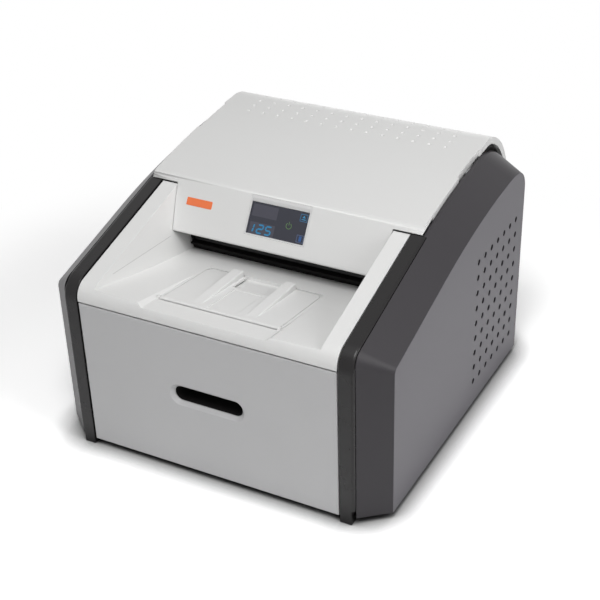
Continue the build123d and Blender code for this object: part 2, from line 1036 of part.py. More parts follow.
def channel(x_open, x_web, half_height, y0, y1):
    """Rail of C section, open towards the drawer."""
    sheet = slide_sheet
    outer = half_height + sheet
    web = box(x_web - sheet, x_web, y0, y1, slide_middle - outer, slide_middle + outer)
    for side in (-1, 1):
        low = slide_middle + side * (half_height + sheet / 2) - sheet / 2
        web += box(x_open, x_web, y0, y1, low, low + sheet)
    return web


def make_slides():
    """Fixed, middle and drawer rails of the two full-extension slides."""
    y0 = slide_front
    y1 = slide_front + slide_length
    half = slide_bar_height / 2
    fixed_web = frame_inner
    middle_web = fixed_web - slide_sheet - slide_nest
    bar_end = middle_web - slide_sheet - slide_nest
    middle_half = half + slide_nest
    fixed_half = middle_half + slide_sheet + slide_nest
    bar = box(tray_half_width, bar_end, y0, y1, slide_middle - half, slide_middle + half)
    middle = channel(middle_web - slide_flange - slide_sheet, middle_web, middle_half, y0, y1)
    fixed = channel(fixed_web - slide_flange - slide_sheet, fixed_web, fixed_half, y0, y1)
    return [Compound([s, mirrored(s)]) for s in (fixed, middle, bar)]


# Frames, base and rear panel


def shaft_places():
    """Every (y, z, radius) where a shaft runs in both side frames."""
    reach = roller_radius + nip_gap / 2
    places = [(exit_roller_y, exit_nip_height + side * reach, journal_radius) for side in (-1, 1)]
    for height in (feed_roller_height, upper_feed_height):
        places += [(feed_nip_y + side * reach, height, journal_radius) for side in (-1, 1)]
    places.append((pickup_y, pickup_z, pickup_shaft))
    return places


def make_side_frame():
    """Right side frame, a steel sheet with the bores of the film path."""
    shelf = slope_z(frame_shelf_start) - frame_drop
    rear = rear_face - rear_sheet - base_sheet - part_gap
    sheet = slab(
        outline(
            [
                (frame_front, frame_bottom, 0),
                (frame_front, slope_z(frame_front) - frame_drop, 0),
                (frame_shelf_start, shelf, 0),
                (frame_shelf_end, shelf, 20),
                (rear_face - rear_flange - 4, frame_rear_top, 10),
                (rear, frame_rear_top, 0),
                (rear, frame_bottom, 0),
            ]
        ),
        frame_inner,
        frame_inner + frame_sheet,
    )
    for y, z, radius in shaft_places():
        sheet -= rod(frame_inner - 1, frame_inner + frame_sheet + 1, y, z, radius + running_gap)
    window = outline([(90, 100, 10), (90, 128, 10), (270, 128, 10), (270, 100, 10)])
    sheet -= slab(window, frame_inner - 1, frame_inner + frame_sheet + 1)
    return sheet


def make_cross_bars():
    """Bars that tie the side frames and carry the optics and the processor."""
    return Compound(
        [
            box(-frame_inner, frame_inner, front, rear, low, low + bar_height)
            for front, rear, low in bars.values()
        ]
    )


def make_base():
    """Base chassis with turned-up rims at the sides and the rear."""
    half = trim_outer - seat_gap
    low = frame_bottom - base_sheet
    rear = rear_face - rear_sheet
    side_rear = rear_face - skin - seat_gap
    base = box(-half, half, base_front, side_rear, low, frame_bottom)
    for side in (-1, 1):
        x = side * (half - base_sheet / 2)
        base += box(
            x - base_sheet / 2, x + base_sheet / 2, base_front, side_rear, low, low + base_rim
        )
    middle = hood_half_width
    base += box(-middle, middle, base_front, rear, low, frame_bottom)
    return base + box(-middle, middle, rear - base_sheet, rear, low, low + base_rim)


def make_feet():
    """Four rubber feet under the base."""
    top = frame_bottom - base_sheet
    foot = Cone(foot_tip_radius, foot_radius, top)
    places = [(x, y) for x in (-foot_x, foot_x) for y in (foot_front_y, foot_rear_y)]
    return Compound([Pos(x, y, top / 2) * foot for x, y in places])


def make_rear_panel():
    """Rear panel with a fan grille, cut-outs for the sockets and a top flange."""
    half = hood_half_width + part_gap
    front = rear_face - rear_sheet
    panel = box(-half, half, front, rear_face, frame_bottom, rear_panel_top)
    panel += box(
        -half, half, rear_face - rear_flange, rear_face, rear_panel_top - rear_sheet, rear_panel_top
    )
    first = -(grille_slots - 1) / 2
    for i in range(grille_slots):
        offset_z = (first + i) * grille_pitch
        reach = sqrt((fan_bore - 2) ** 2 - offset_z**2)
        slot = box(
            fan_x - reach,
            fan_x + reach,
            front - 1,
            rear_face + 1,
            fan_z + offset_z - grille_slot / 2,
            fan_z + offset_z + grille_slot / 2,
        )
        panel -= slot
    panel -= box(
        rocker_x - rocker_width / 2 - rocker_wall - fit_gap,
        inlet_x + inlet_width / 2 + rocker_wall + fit_gap,
        front - 1,
        rear_face + 1,
        inlet_z - rocker_height / 2 - rocker_wall - fit_gap,
        inlet_z + rocker_height / 2 + rocker_wall + fit_gap,
    )
    panel -= box(
        port_x - port_width / 2 - port_wall - fit_gap,
        port_x + port_width / 2 + port_wall + fit_gap,
        front - 1,
        rear_face + 1,
        port_z - port_height / 2 - port_wall - fit_gap,
        port_z + port_height / 2 + port_wall + fit_gap,
    )
    return panel


def make_hinges():
    """Hinge brackets on the rear panel's flange, and the pins through them."""
    inside = hinge_ear / 2 + side_play
    outside = inside + hinge_bracket_sheet
    base_top = rear_panel_top + hinge_bracket_sheet
    base_front_edge = rear_face - rear_flange + 4
    base_rear_edge = hinge_y - hinge_arm_lean
    arm = outline(
        [
            (base_front_edge, rear_panel_top, 0),
            (base_front_edge, base_top, 0),
            (hinge_y - hinge_arm_radius, hinge_z + hinge_arm_radius * 0.6, 2),
            (hinge_y - 1, hinge_z - hinge_arm_radius * 0.9, 0),
            (base_rear_edge, rear_panel_top, 0),
        ]
    )
    brackets = []
    pins = []
    for side in (-1, 1):
        x = side * hinge_x
        bracket = box(
            x - outside, x + outside, base_front_edge, base_rear_edge, rear_panel_top, base_top
        )
        for cheek in (x - outside, x + inside):
            bracket += slab(arm, cheek, cheek + hinge_bracket_sheet)
            bracket += rod(
                cheek, cheek + hinge_bracket_sheet, hinge_y, hinge_z, hinge_arm_radius
            )
        bracket -= rod(
            x - outside - 1, x + outside + 1, hinge_y, hinge_z, hinge_pin_radius + running_gap
        )
        brackets.append(bracket)
        pins.append(rod(x - outside - 1, x + outside + 1, hinge_y, hinge_z, hinge_pin_radius))
    return Compound(brackets), Compound(pins)


# Optics module


def make_optics_housing():
    """Cast tray for the optics, with the scan slit in its rear wall."""
    half = optics_half_width
    wall = optics_wall
    body = box(-half, half, optics_front, optics_rear, optics_bottom, optics_top)
    body -= box(
        wall - half,
        half - wall,
        optics_front + wall,
        optics_rear - wall,
        optics_bottom + wall,
        optics_top + 1,
    )
    return body - box(
        -scan_slit_half_width,
        scan_slit_half_width,
        optics_rear - wall - 1,
        optics_rear + 1,
        scan_height - scan_slit / 2,
        scan_height + scan_slit / 2,
    )


def make_optics_lid():
    """Lid of the optics module, with a stiffening bead."""
    half = optics_half_width
    lid = box(-half, half, optics_front, optics_rear, optics_top, optics_top + optics_lid)
    step = optics_wall * 4
    return lid + box(
        step - half,
        half - step,
        optics_front + step,
        optics_rear - step,
        optics_top,
        optics_top + 2 * optics_lid,
    )


def make_scanner():
    """Scanner motor on the housing's floor, and the polygon mirror on its shaft."""
    floor = optics_bottom + optics_wall
    seat = floor + scanner_height
    motor = upright(scanner_x, scanner_y, floor, seat, scanner_radius)
    motor += box(
        scanner_x - scanner_radius * 1.4,
        scanner_x + scanner_radius * 1.4,
        scanner_y - scanner_radius,
        scanner_y + scanner_radius,
        floor,
        floor + optics_lid,
    )
    low = seat + seat_gap
    high = low + mirror_height
    motor += upright(scanner_x, scanner_y, seat, high + 2, scanner_shaft)
    polygon = Pos(scanner_x, scanner_y, low) * extrude(
        RegularPolygon(mirror_radius, mirror_faces), amount=mirror_height
    )
    polygon -= upright(scanner_x, scanner_y, low - 1, high + 1, scanner_shaft + running_gap)
    return motor, polygon


def make_scan_lens():
    """Long scan lens with a bowed front, on its own foot."""
    low = optics_bottom + optics_wall
    middle = scan_height
    front = lens_y - lens_depth / 2
    rear = lens_y + lens_depth / 2
    half = lens_half_width
    face = make_face(
        [
            Edge.make_three_point_arc((-half, front), (0, front - lens_bulge), (half, front)),
            Edge.make_line((half, front), (half, rear)),
            Edge.make_line((half, rear), (-half, rear)),
            Edge.make_line((-half, rear), (-half, front)),
        ]
    )
    lens = Pos(0, 0, middle - lens_height / 2) * extrude(face, amount=lens_height)
    foot = box(-half / 2, half / 2, front + 2, rear - 2, low, middle - lens_height / 2)
    return lens + foot


def make_laser_diode():
    """Laser diode barrel in its clamp block, aimed at the mirror."""
    low = optics_bottom + optics_wall
    barrel = rod(diode_x, diode_x + diode_length, scanner_y, scan_height, diode_radius)
    middle = diode_x + diode_length / 2
    half = diode_block / 2
    block = box(
        middle - half,
        middle + half,
        scanner_y - half,
        scanner_y + half,
        low,
        scan_height + half,
    )
    return barrel + block


# Film path


def make_roller(y, z, radius, half_length, journal, reach):
    """Roller with a journal at each end."""
    return rod(-half_length, half_length, y, z, radius) + rod(-reach, reach, y, z, journal)


def make_film_guide():
    """Two upright sheets that lead the film from the lower to the upper rollers."""
    low = feed_roller_height + roller_radius + seat_gap
    high = upper_feed_height - roller_radius - seat_gap
    half = frame_inner - seat_gap
    sheet = film_guide_sheet
    guide = None
    for side in (-1, 1):
        y = feed_nip_y + side * (film_gap + sheet) / 2
        panel = box(-half, half, y - sheet / 2, y + sheet / 2, low, high)
        guide = panel if guide is None else guide + panel
    guide -= box(
        -scan_slit_half_width,
        scan_slit_half_width,
        feed_nip_y - film_gap,
        feed_nip_y - film_gap / 2 + 1,
        scan_height - scan_slit,
        scan_height + scan_slit,
    )
    for side in (-1, 1):
        x = side * (half - roller_radius / 2)
        guide += box(
            x - roller_radius / 2,
            x + roller_radius / 2,
            feed_nip_y - film_gap / 2,
            feed_nip_y + film_gap / 2,
            low,
            high,
        )
    return guide


def make_drum():
    """Heated drum: a tube with end discs and a shaft."""
    half = drum_half_length
    drum = rod(-half, half, drum_y, drum_z, drum_radius)
    drum -= rod(drum_wall - half, half - drum_wall, drum_y, drum_z, drum_radius - drum_wall)
    left = -gear_start - gear_width - 2
    return drum + rod(left, plate_x + plate_sheet + 2, drum_y, drum_z, drum_shaft)


def pressure_places():
    """Centre (y, z) of each pressure roller."""
    reach = drum_radius + pressure_radius + nip_gap
    angles = [radians(pressure_first + i * pressure_step) for i in range(pressure_rollers)]
    return [(drum_y + reach * cos(a), drum_z + reach * sin(a)) for a in angles]


def gear_reach():
    """Distance between the centres of drum gear and pinion."""
    return gear_module * (gear_teeth + pinion_teeth) / 2


def motor_place():
    """Centre (y, z) of the drive motor."""
    angle = radians(motor_angle)
    return drum_y + gear_reach() * cos(angle), drum_z + gear_reach() * sin(angle)


def make_processor_plates():
    """End plates that carry the drum, the pressure rollers and the drive motor."""
    foot = bars["processor"][2] + bar_height
    bar_front, bar_rear = bars["processor"][:2]
    plate = rod(plate_x, plate_x + plate_sheet, drum_y, drum_z, plate_round)
    plate += box(plate_x, plate_x + plate_sheet, plate_foot_front, plate_foot_rear, foot, drum_z)
    plate += box(plate_x - bar_height, plate_x + plate_sheet, bar_front, bar_rear, foot, foot + plate_sheet)
    ends = (plate_x - bar_height - 1, plate_x + plate_sheet + 1)
    plate -= rod(*ends, drum_y, drum_z, drum_shaft + running_gap)
    for y, z in pressure_places():
        plate -= rod(*ends, y, z, pressure_journal + running_gap)
    left = mirrored(plate) - rod(-ends[1], -ends[0], *motor_place(), motor_shaft + running_gap)
    return Compound([plate, left])


def gear_face(teeth, phase):
    """Involute gear outline with one tooth centred at phase degrees."""
    pitch = gear_module * teeth / 2
    lean = radians(pressure_angle)
    base = pitch * cos(lean)
    tip = pitch + tooth_addendum * gear_module
    root = pitch - tooth_dedendum * gear_module
    start = max(base, root)
    half_tooth = pi / (2 * teeth) - gear_backlash / (4 * pitch)
    flank = []
    for step in range(flank_points):
        radius = start + (tip - start) * step / (flank_points - 1)
        roll = acos(base / radius)
        flank.append((radius, half_tooth + tan(lean) - lean - tan(roll) + roll))
    if root < base:
        flank.insert(0, (root, flank[0][1]))
    points = []
    for tooth in range(teeth):
        middle = radians(phase) + 2 * pi * tooth / teeth
        rising = [(r, middle - a) for r, a in flank]
        falling = [(r, middle + a) for r, a in reversed(flank)]
        points += [(r * cos(a), r * sin(a)) for r, a in rising + falling]
    return make_face(Wire.make_polygon([Vector(*p) for p in points], close=True))


def make_drum_gear():
    """Gear on the drum's shaft, with a thin web between rim and hub."""
    x0 = -gear_start - gear_width
    wheel = slab(Pos(drum_y, drum_z) * gear_face(gear_teeth, motor_angle), x0, -gear_start)
    rim_inner = gear_module * (gear_teeth / 2 - tooth_dedendum) - gear_rim
    side_cut = (gear_width - gear_web) / 2
    for start in (x0 - 1, -gear_start - side_cut):
        groove = rod(start, start + side_cut + 1, drum_y, drum_z, rim_inner)
        groove -= rod(start - 1, start + side_cut + 2, drum_y, drum_z, gear_hub)
        wheel -= groove
    return wheel - rod(x0 - 1, 1 - gear_start, drum_y, drum_z, drum_shaft + running_gap)


def make_motor():
    """Drive motor behind the left plate, and the pinion with its shaft."""
    y, z = motor_place()
    face = -plate_x
    depth = plate_sheet * 2
    body = rod(face, face + motor_length, y, z, motor_radius)
    body -= rod(face - 1, face + depth + 1, y, z, motor_shaft + running_gap)
    gap_angle = motor_angle + 180 + 180 / pinion_teeth
    x0 = -gear_start - gear_width
    pinion = slab(Pos(y, z) * gear_face(pinion_teeth, gap_angle), x0, -gear_start)
    return body, pinion + rod(x0, face + depth, y, z, motor_shaft)


def make_cooling_plate():
    """Sloping plate on which the film cools, with an ear to each side frame."""
    half = plate_x - 1
    reach = frame_inner - seat_gap
    sheet = cooling_sheet
    fall = (cooling_rear_z - cooling_front_z) / (cooling_rear - cooling_front)
    ear_rear_z = cooling_front_z + fall * (cooling_ear_rear - cooling_front)
    corners = [
        (cooling_front, cooling_front_z - sheet, 0),
        (cooling_front, cooling_front_z, 0),
        (cooling_rear, cooling_rear_z, 0),
        (cooling_rear, cooling_rear_z - sheet, 0),
    ]
    plate = slab(outline(corners), -half, half)
    ear_corners = corners[:2] + [
        (cooling_ear_rear, ear_rear_z, 0),
        (cooling_ear_rear, ear_rear_z - sheet, 0),
    ]
    flange_corners = [
        (cooling_front, cooling_front_z - cooling_flange, 3),
        (cooling_front, cooling_front_z, 0),
        (cooling_ear_rear, ear_rear_z, 0),
        (cooling_ear_rear, cooling_front_z - cooling_flange, 3),
    ]
    ear = slab(outline(ear_corners), half - 1, reach)
    ear += slab(outline(flange_corners), reach - sheet, reach)
    return plate + ear + mirrored(ear)


def make_pickup():
    """Pickup arm on its shaft, and the suction cups under its bar."""
    bar_y = pickup_y + pickup_reach
    bar_low = cup_bottom + cup_height
    half = pickup_bar / 2
    arm = rod(-frame_inner - frame_sheet, frame_inner + frame_sheet, pickup_y, pickup_z, pickup_shaft)
    arm_side = outline(
        [
            (pickup_y - pickup_bar, pickup_z - pickup_bar, 2),
            (pickup_y - pickup_bar, pickup_z + pickup_bar, 2),
            (bar_y + pickup_bar, bar_low + pickup_bar, 2),
            (bar_y + pickup_bar, bar_low, 2),
        ]
    )
    for side in (-1, 1):
        x = side * (pickup_half_width + half)
        arm += slab(arm_side, x - half / 2, x + half / 2)
    reach = pickup_half_width + pickup_bar
    arm += box(-reach, reach, bar_y - pickup_bar, bar_y + pickup_bar, bar_low, bar_low + half)
    cups = []
    for x in cup_positions:
        neck = upright(x, bar_y, cup_bottom + cup_height / 2, bar_low, cup_neck_radius)
        skirt_height = cup_height / 2
        skirt = Pos(x, bar_y, cup_bottom + skirt_height / 2) * Cone(
            cup_radius, cup_neck_radius, skirt_height
        )
        hollow = Pos(x, bar_y, cup_bottom + skirt_height / 4 - 0.01) * Cone(
            cup_radius - 2, cup_neck_radius - 1, skirt_height / 2
        )
        cups.append(neck + skirt - hollow)
    return arm, Compound(cups)


# Rear equipment


def make_fan():
    """Fan frame on the rear panel, and its rotor."""
    rear = rear_face - rear_sheet
    front = rear - fan_depth
    half = fan_size / 2
    frame = box(fan_x - half, fan_x + half, front, rear, fan_z - half, fan_z + half)
    frame = fillet(frame.edges().filter_by(Axis.Y), 5)
    frame -= across(fan_x, fan_z, front - 1, rear + 1, fan_bore)
    for angle in (0, 60, 120):
        spoke = box(-fan_bore - 1, fan_bore + 1, front, front + fan_floor, -fan_spoke / 2, fan_spoke / 2)
        frame += Pos(fan_x, 0, fan_z) * Rot(0, angle, 0) * spoke
    frame += across(fan_x, fan_z, front, front + fan_floor, fan_hub)
    frame += across(fan_x, fan_z, front, front + fan_floor * 2, scanner_shaft)
    low = front + fan_floor + seat_gap
    high = rear - fan_floor
    rotor = across(fan_x, fan_z, low, high, fan_hub)
    for i in range(fan_blades):
        blade = Pos((fan_hub + fan_blade_radius) / 2 - 1, 0, 0) * Rot(fan_pitch_angle, 0, 0) * Box(
            fan_blade_radius - fan_hub + 2, fan_floor / 2, high - low
        )
        blade = Rot(90, 0, 0) * blade
        rotor += Pos(fan_x, (low + high) / 2, fan_z) * Rot(0, i * 360 / fan_blades, 0) * blade
    rotor -= across(fan_x, fan_z, low - 1, front + fan_floor * 2 + seat_gap, scanner_shaft + running_gap)
    return frame, rotor


def across(x, z, y0, y1, radius):
    """Round bar along Y."""
    return Pos(x, (y0 + y1) / 2, z) * Rot(90, 0, 0) * Cylinder(radius, y1 - y0)


def make_supply():
    """Power supply, a closed box on the base with vent slots in its front."""
    low = frame_bottom
    body = box(*supply_x, *supply_y, low, low + supply_height)
    count = 6
    pitch = (supply_x[1] - supply_x[0]) / (count + 1)
    for i in range(count):
        x = supply_x[0] + (i + 1) * pitch
        body -= box(x - 3, x + 3, supply_y[0] - 1, supply_y[0] + 4, low + 20, low + supply_height - 20)
    return body


def make_main_board():
    """Main board on four stand-offs, with its larger parts."""
    rear = rear_face - rear_sheet
    face = rear - board_stand_off
    board = box(*board_x, face - board_thickness, face, *board_z)
    for x in (board_x[0] + 8, board_x[1] - 8):
        for z in (board_z[0] + 8, board_z[1] - 8):
            board += across(x, z, face - 0.5, rear, stand_off_radius)
    chips = [(0.3, 0.7, 34, 34, 3), (0.7, 0.7, 22, 30, 2.5), (0.25, 0.25, 16, 40, 9), (0.6, 0.45, 12, 12, 8)]
    front = face - board_thickness
    for across_part, up_part, width, height, depth in chips:
        x = board_x[0] + across_part * (board_x[1] - board_x[0])
        z = board_z[0] + up_part * (board_z[1] - board_z[0])
        board += box(
            x - width / 2, x + width / 2, front - depth, front + 0.5, z - height / 2, z + height / 2
        )
    return board


def make_port():
    """Network socket on the board, reaching through the rear panel."""
    face = rear_face - rear_sheet - board_stand_off
    half = port_width / 2 + port_wall
    tall = port_height / 2 + port_wall
    port = box(port_x - half, port_x + half, face, rear_face + 1, port_z - tall, port_z + tall)
    return port - box(
        port_x - port_width / 2 + port_wall,
        port_x + port_width / 2 - port_wall,
        face + port_wall * 2,
        rear_face + 2,
        port_z - port_height / 2 + port_wall,
        port_z + port_height / 2 - port_wall,
    )


def make_inlet():
    """Power inlet with its three contacts, and the rocker in the pocket beside it."""
    left = rocker_x - rocker_width / 2 - rocker_wall
    right = inlet_x + inlet_width / 2 + rocker_wall
    tall = rocker_height / 2 + rocker_wall
    front = rear_face - inlet_depth - rocker_wall
    body = box(left, right, front, rear_face, inlet_z - tall, inlet_z + tall)
    body += box(
        left - rocker_wall,
        right + rocker_wall,
        rear_face,
        rear_face + inlet_flange,
        inlet_z - tall - rocker_wall,
        inlet_z + tall + rocker_wall,
    )
    socket = outline(
        [
            (inlet_x - inlet_width / 2, inlet_z - inlet_height / 2, 1.5),
            (inlet_x - inlet_width / 2, inlet_z + inlet_height / 2, 6),
            (inlet_x + inlet_width / 2, inlet_z + inlet_height / 2, 6),
            (inlet_x + inlet_width / 2, inlet_z - inlet_height / 2, 1.5),
        ]
    )
    back = Plane((0, rear_face + inlet_flange + 1, 0), x_dir=(1, 0, 0), z_dir=(0, -1, 0))
    body -= extrude(back * socket, amount=inlet_depth + inlet_flange + 1)
    for dx, dz in ((-7, -2.5), (7, -2.5), (0, 3)):
        body += box(
            inlet_x + dx - 1,
            inlet_x + dx + 1,
            front + 1,
            front + rocker_wall + inlet_pin_reach,
            inlet_z + dz - 2.5,
            inlet_z + dz + 2.5,
        )
    pocket = box(
        rocker_x - rocker_width / 2,
        rocker_x + rocker_width / 2,
        rear_face - rocker_depth - rocker_wall,
        rear_face + inlet_flange + 1,
        inlet_z - rocker_height / 2,
        inlet_z + rocker_height / 2,
    )
    body -= pocket
    pivot = rear_face - rocker_depth / 2
    reach = rocker_width / 2 + rocker_pin
    body -= rod(rocker_x - reach, rocker_x + reach, pivot, inlet_z, rocker_pin + running_gap)
    half = rocker_height / 2 - rocker_margin
    face = rear_face + inlet_flange
    low_front = Vector(face + rocker_proud, inlet_z - half)
    high_front = Vector(face - rocker_proud, inlet_z + half)
    high_rear = Vector(pivot - rocker_rear, inlet_z + half - rocker_rear)
    low_rear = Vector(pivot - rocker_rear, inlet_z - half + rocker_rear)
    dish = (low_front + high_front) / 2 - Vector(rocker_proud / 2, 0)
    profile = make_face(
        [
            Edge.make_line(low_rear, low_front),
            Edge.make_three_point_arc(low_front, dish, high_front),
            Edge.make_line(high_front, high_rear),
            Edge.make_line(high_rear, low_rear),
        ]
    )
    wide = rocker_width / 2 - side_play
    rocker = slab(profile, rocker_x - wide, rocker_x + wide)
    rocker += rod(
        rocker_x - reach + side_play, rocker_x + reach - side_play, pivot, inlet_z, rocker_pin
    )
    return body, rocker


def make_filter():
    """Charcoal filter, a pleated block that rests on the rear bar."""
    low = bars["rear"][2] + bar_height
    body = box(*filter_x, *filter_y, low, low + filter_height)
    pleats = 10
    pitch = (filter_x[1] - filter_x[0] - 16) / pleats
    for i in range(pleats):
        x = filter_x[0] + 8 + (i + 0.5) * pitch
        body -= box(
            x - pitch / 4, x + pitch / 4, filter_y[0] - 1, filter_y[0] + 12, low + 8, low + filter_height - 8
        )
    return body


pieces["right_side_cover"] = make_side_cover()
pieces["left_side_cover"] = mirrored(pieces["right_side_cover"])
pieces["right_trim"] = make_trim()
pieces["left_trim"] = mirrored(pieces["right_trim"])
pieces["hood"] = make_hood()
pieces["exit_tray_cover"] = make_exit_tray()
pieces["film_stop_flap"] = make_flap()
pieces["exit_guide"] = make_exit_guide()
pieces["display_bezel"], pieces["display_glass"], pieces["display_board"] = make_display()
pieces["drawer_front"] = make_drawer_front()
pieces["handle_cup"] = make_handle_cup()
pieces["drawer_tray"] = make_drawer_tray()
pieces["film_cartridge"] = make_cartridge()
pieces["film_stack"] = make_film_stack()
pieces["fixed_slide_rails"], pieces["middle_slide_rails"], pieces["drawer_slide_rails"] = make_slides()
pieces["base_chassis"] = make_base()
pieces["right_side_frame"] = make_side_frame()
pieces["left_side_frame"] = mirrored(pieces["right_side_frame"])
pieces["cross_bars"] = make_cross_bars()
pieces["rubber_feet"] = make_feet()
pieces["rear_panel"] = make_rear_panel()
pieces["hinge_brackets"], pieces["hinge_pins"] = make_hinges()
pieces["optics_housing"] = make_optics_housing()
pieces["optics_lid"] = make_optics_lid()
pieces["scanner_motor"], pieces["polygon_mirror"] = make_scanner()
pieces["scan_lens"] = make_scan_lens()
pieces["laser_diode"] = make_laser_diode()
nip = roller_radius + nip_gap / 2
shaft_end = frame_inner + frame_sheet
film_rollers = {
    "lower_feed_roller": (feed_nip_y - nip, feed_roller_height),
    "lower_idle_roller": (feed_nip_y + nip, feed_roller_height),
    "upper_feed_roller": (feed_nip_y - nip, upper_feed_height),
    "upper_idle_roller": (feed_nip_y + nip, upper_feed_height),
    "exit_roller": (exit_roller_y, exit_nip_height - nip),
    "exit_idle_roller": (exit_roller_y, exit_nip_height + nip),
}
for name, (y, z) in film_rollers.items():
    pieces[name] = make_roller(y, z, roller_radius, roller_half_length, journal_radius, shaft_end)
pieces["film_guide"] = make_film_guide()
pieces["heated_drum"] = make_drum()
for i, (y, z) in enumerate(pressure_places()):
    pieces[f"pressure_roller_{i + 1}"] = make_roller(
        y, z, pressure_radius, pressure_half_length, pressure_journal, plate_x + plate_sheet
    )
pieces["processor_plates"] = make_processor_plates()
pieces["drum_gear"] = make_drum_gear()
pieces["drive_motor"], pieces["motor_pinion"] = make_motor()
pieces["cooling_plate"] = make_cooling_plate()
pieces["pickup_arm"], pieces["suction_cups"] = make_pickup()
pieces["fan_frame"], pieces["fan_rotor"] = make_fan()
pieces["power_supply"] = make_supply()
pieces["main_board"] = make_main_board()
pieces["network_port"] = make_port()
pieces["power_inlet"], pieces["power_rocker"] = make_inlet()
pieces["charcoal_filter"] = make_filter()

os.makedirs("parts", exist_ok=True)
for name, shape in pieces.items():
    export_step(Pos(0, -footprint_middle, 0) * shape, f"parts/{name}.step")
    print(name, len(shape.solids()), round(shape.volume / 1000, 1), shape.is_valid)
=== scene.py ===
import math

import bmesh
import bpy
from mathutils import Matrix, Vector
from mathutils.bvhtree import BVHTree
from mathutils.interpolate import poly_3d_calc


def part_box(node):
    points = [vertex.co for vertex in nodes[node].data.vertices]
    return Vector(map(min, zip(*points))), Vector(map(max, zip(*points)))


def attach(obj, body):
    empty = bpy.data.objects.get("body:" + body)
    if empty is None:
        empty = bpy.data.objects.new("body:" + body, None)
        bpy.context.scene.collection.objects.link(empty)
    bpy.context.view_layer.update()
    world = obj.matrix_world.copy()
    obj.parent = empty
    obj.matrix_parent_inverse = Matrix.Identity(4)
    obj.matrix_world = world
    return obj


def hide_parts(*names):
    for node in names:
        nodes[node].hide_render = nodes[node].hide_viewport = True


bl_info = {
    "name": "Dry laser imager",
    "version": (1, 0, 0),
    "blender": (4, 5, 0),
    "location": "3D View > Sidebar > Imager",
    "description": "Finishes and small parts of a tabletop dry film imager",
    "category": "Object",
}

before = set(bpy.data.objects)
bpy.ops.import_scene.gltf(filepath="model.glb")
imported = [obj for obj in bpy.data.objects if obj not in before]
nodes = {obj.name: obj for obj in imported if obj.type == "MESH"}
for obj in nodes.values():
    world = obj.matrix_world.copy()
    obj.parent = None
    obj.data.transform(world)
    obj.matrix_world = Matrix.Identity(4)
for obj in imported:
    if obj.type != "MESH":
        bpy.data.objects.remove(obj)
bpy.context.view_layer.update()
MM = 0.001
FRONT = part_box("drawer_front")[0].y / MM

METAL = {"Metallic": 1.0}
DULL = {"Specular IOR Level": 0.2}

# Ends of the sloping user panel in millimetres: how far behind the front, and how high.
PANEL_FOOT = (221.5, 330.5)
PANEL_TOP = (266.8, 404.6)
# The display's glass lies this far behind the face of the panel, and its marks stand just above it.
GLASS_LIFT = -2.4
MARK_LOW = GLASS_LIFT - 0.1
MARK_HIGH = GLASS_LIFT + 0.06
FIELD_HIGH = GLASS_LIFT + 0.03
DIGIT_BARS = {"1": "bc", "2": "abged", "5": "afgcd"}


def linear(hex_colour):
    """Turn an sRGB hex colour into the linear values of Blender's colour sockets."""
    values = []
    for start in (0, 2, 4):
        level = int(hex_colour[start : start + 2], 16) / 255
        values.append(level / 12.92 if level <= 0.04045 else ((level + 0.055) / 1.055) ** 2.4)
    return (*values, 1.0)


def filled(colour):
    """The four linear values of a colour that is given as sRGB hex or as linear values."""
    return linear(colour) if isinstance(colour, str) else (*colour[:3], 1.0)


def toned(colour, factor):
    """A colour made lighter or darker."""
    return (*[min(1.0, level * factor) for level in filled(colour)[:3]], 1.0)


def size(name, description, millimetres):
    """A length the user can change, with its default in millimetres."""
    return bpy.props.FloatProperty(
        name=name, description=description, default=millimetres * MM, min=0.0, unit="LENGTH", precision=5
    )


def paint(name, description, hex_colour):
    """A colour the user can change, with its default as sRGB hex."""
    return bpy.props.FloatVectorProperty(
        name=name, description=description, default=linear(hex_colour)[:3], subtype="COLOR", min=0, max=1
    )


def power(name, description, watts):
    """The power of a lamp, which the user can change."""
    return bpy.props.FloatProperty(name=name, description=description, default=watts, min=0, unit="POWER")


class ImagerColours(bpy.types.PropertyGroup):
    """Colours of the casing and of the lit marks."""

    casing: paint("Casing", "Hood and exit tray", "DEDEDD")
    front: paint("Drawer front", "Silver-grey drawer front", "BFBFC0")
    bezel: paint("Bezel", "Surround of the display", "DADADA")
    # The side faces' paler colour is painted light: it stands for a lamp on the right lighting them more than
    # the bevels.
    side: paint("Side faces", "Grained flat faces of the side covers", "605E63")
    bevel: paint("Side bevels", "Smooth bevels of the side covers", "3B393C")
    trim: paint("Trims", "Charcoal bars beside the drawer", "151314")
    window: paint("Display window", "Tinted window of the display", "262835")
    digits: paint("Digits", "Lit digits", "1A7DAE")
    badge: paint("Badge plate", "Blank plate on the user panel", "F07A45")


class ImagerSizes(bpy.types.PropertyGroup):
    """Sizes of the small parts and patterns."""

    dimple_radius: size("Dimple radius", "Radius of a dimple in the hood", 3.5)
    dimple_depth: size("Dimple depth", "Depth of a dimple in the hood", 1.9)
    dimple_pitch_x: size("Dimple pitch across", "Spacing of the dimples across the hood", 30.2)
    dimple_pitch_y: size("Dimple pitch along", "Spacing of the rows of dimples", 21.2)
    digit_height: size("Digit height", "Height of the lit digits", 16.6)
    digit_width: size("Digit width", "Width of a lit digit", 12.6)
    digit_stroke: size("Digit stroke", "Width of one lit bar", 2.6)
    badge_width: size("Badge width", "Width of the blank badge plate", 50.4)
    badge_height: size("Badge height", "Height of the blank badge plate", 13.6)
    screw_head: size("Screw head", "Radius of a pan head screw", 3.4)
    screw_height: size("Screw height", "Height of a pan head screw", 1.9)
    film_sheet: size("Film sheet", "Thickness of one film sheet", 0.18)


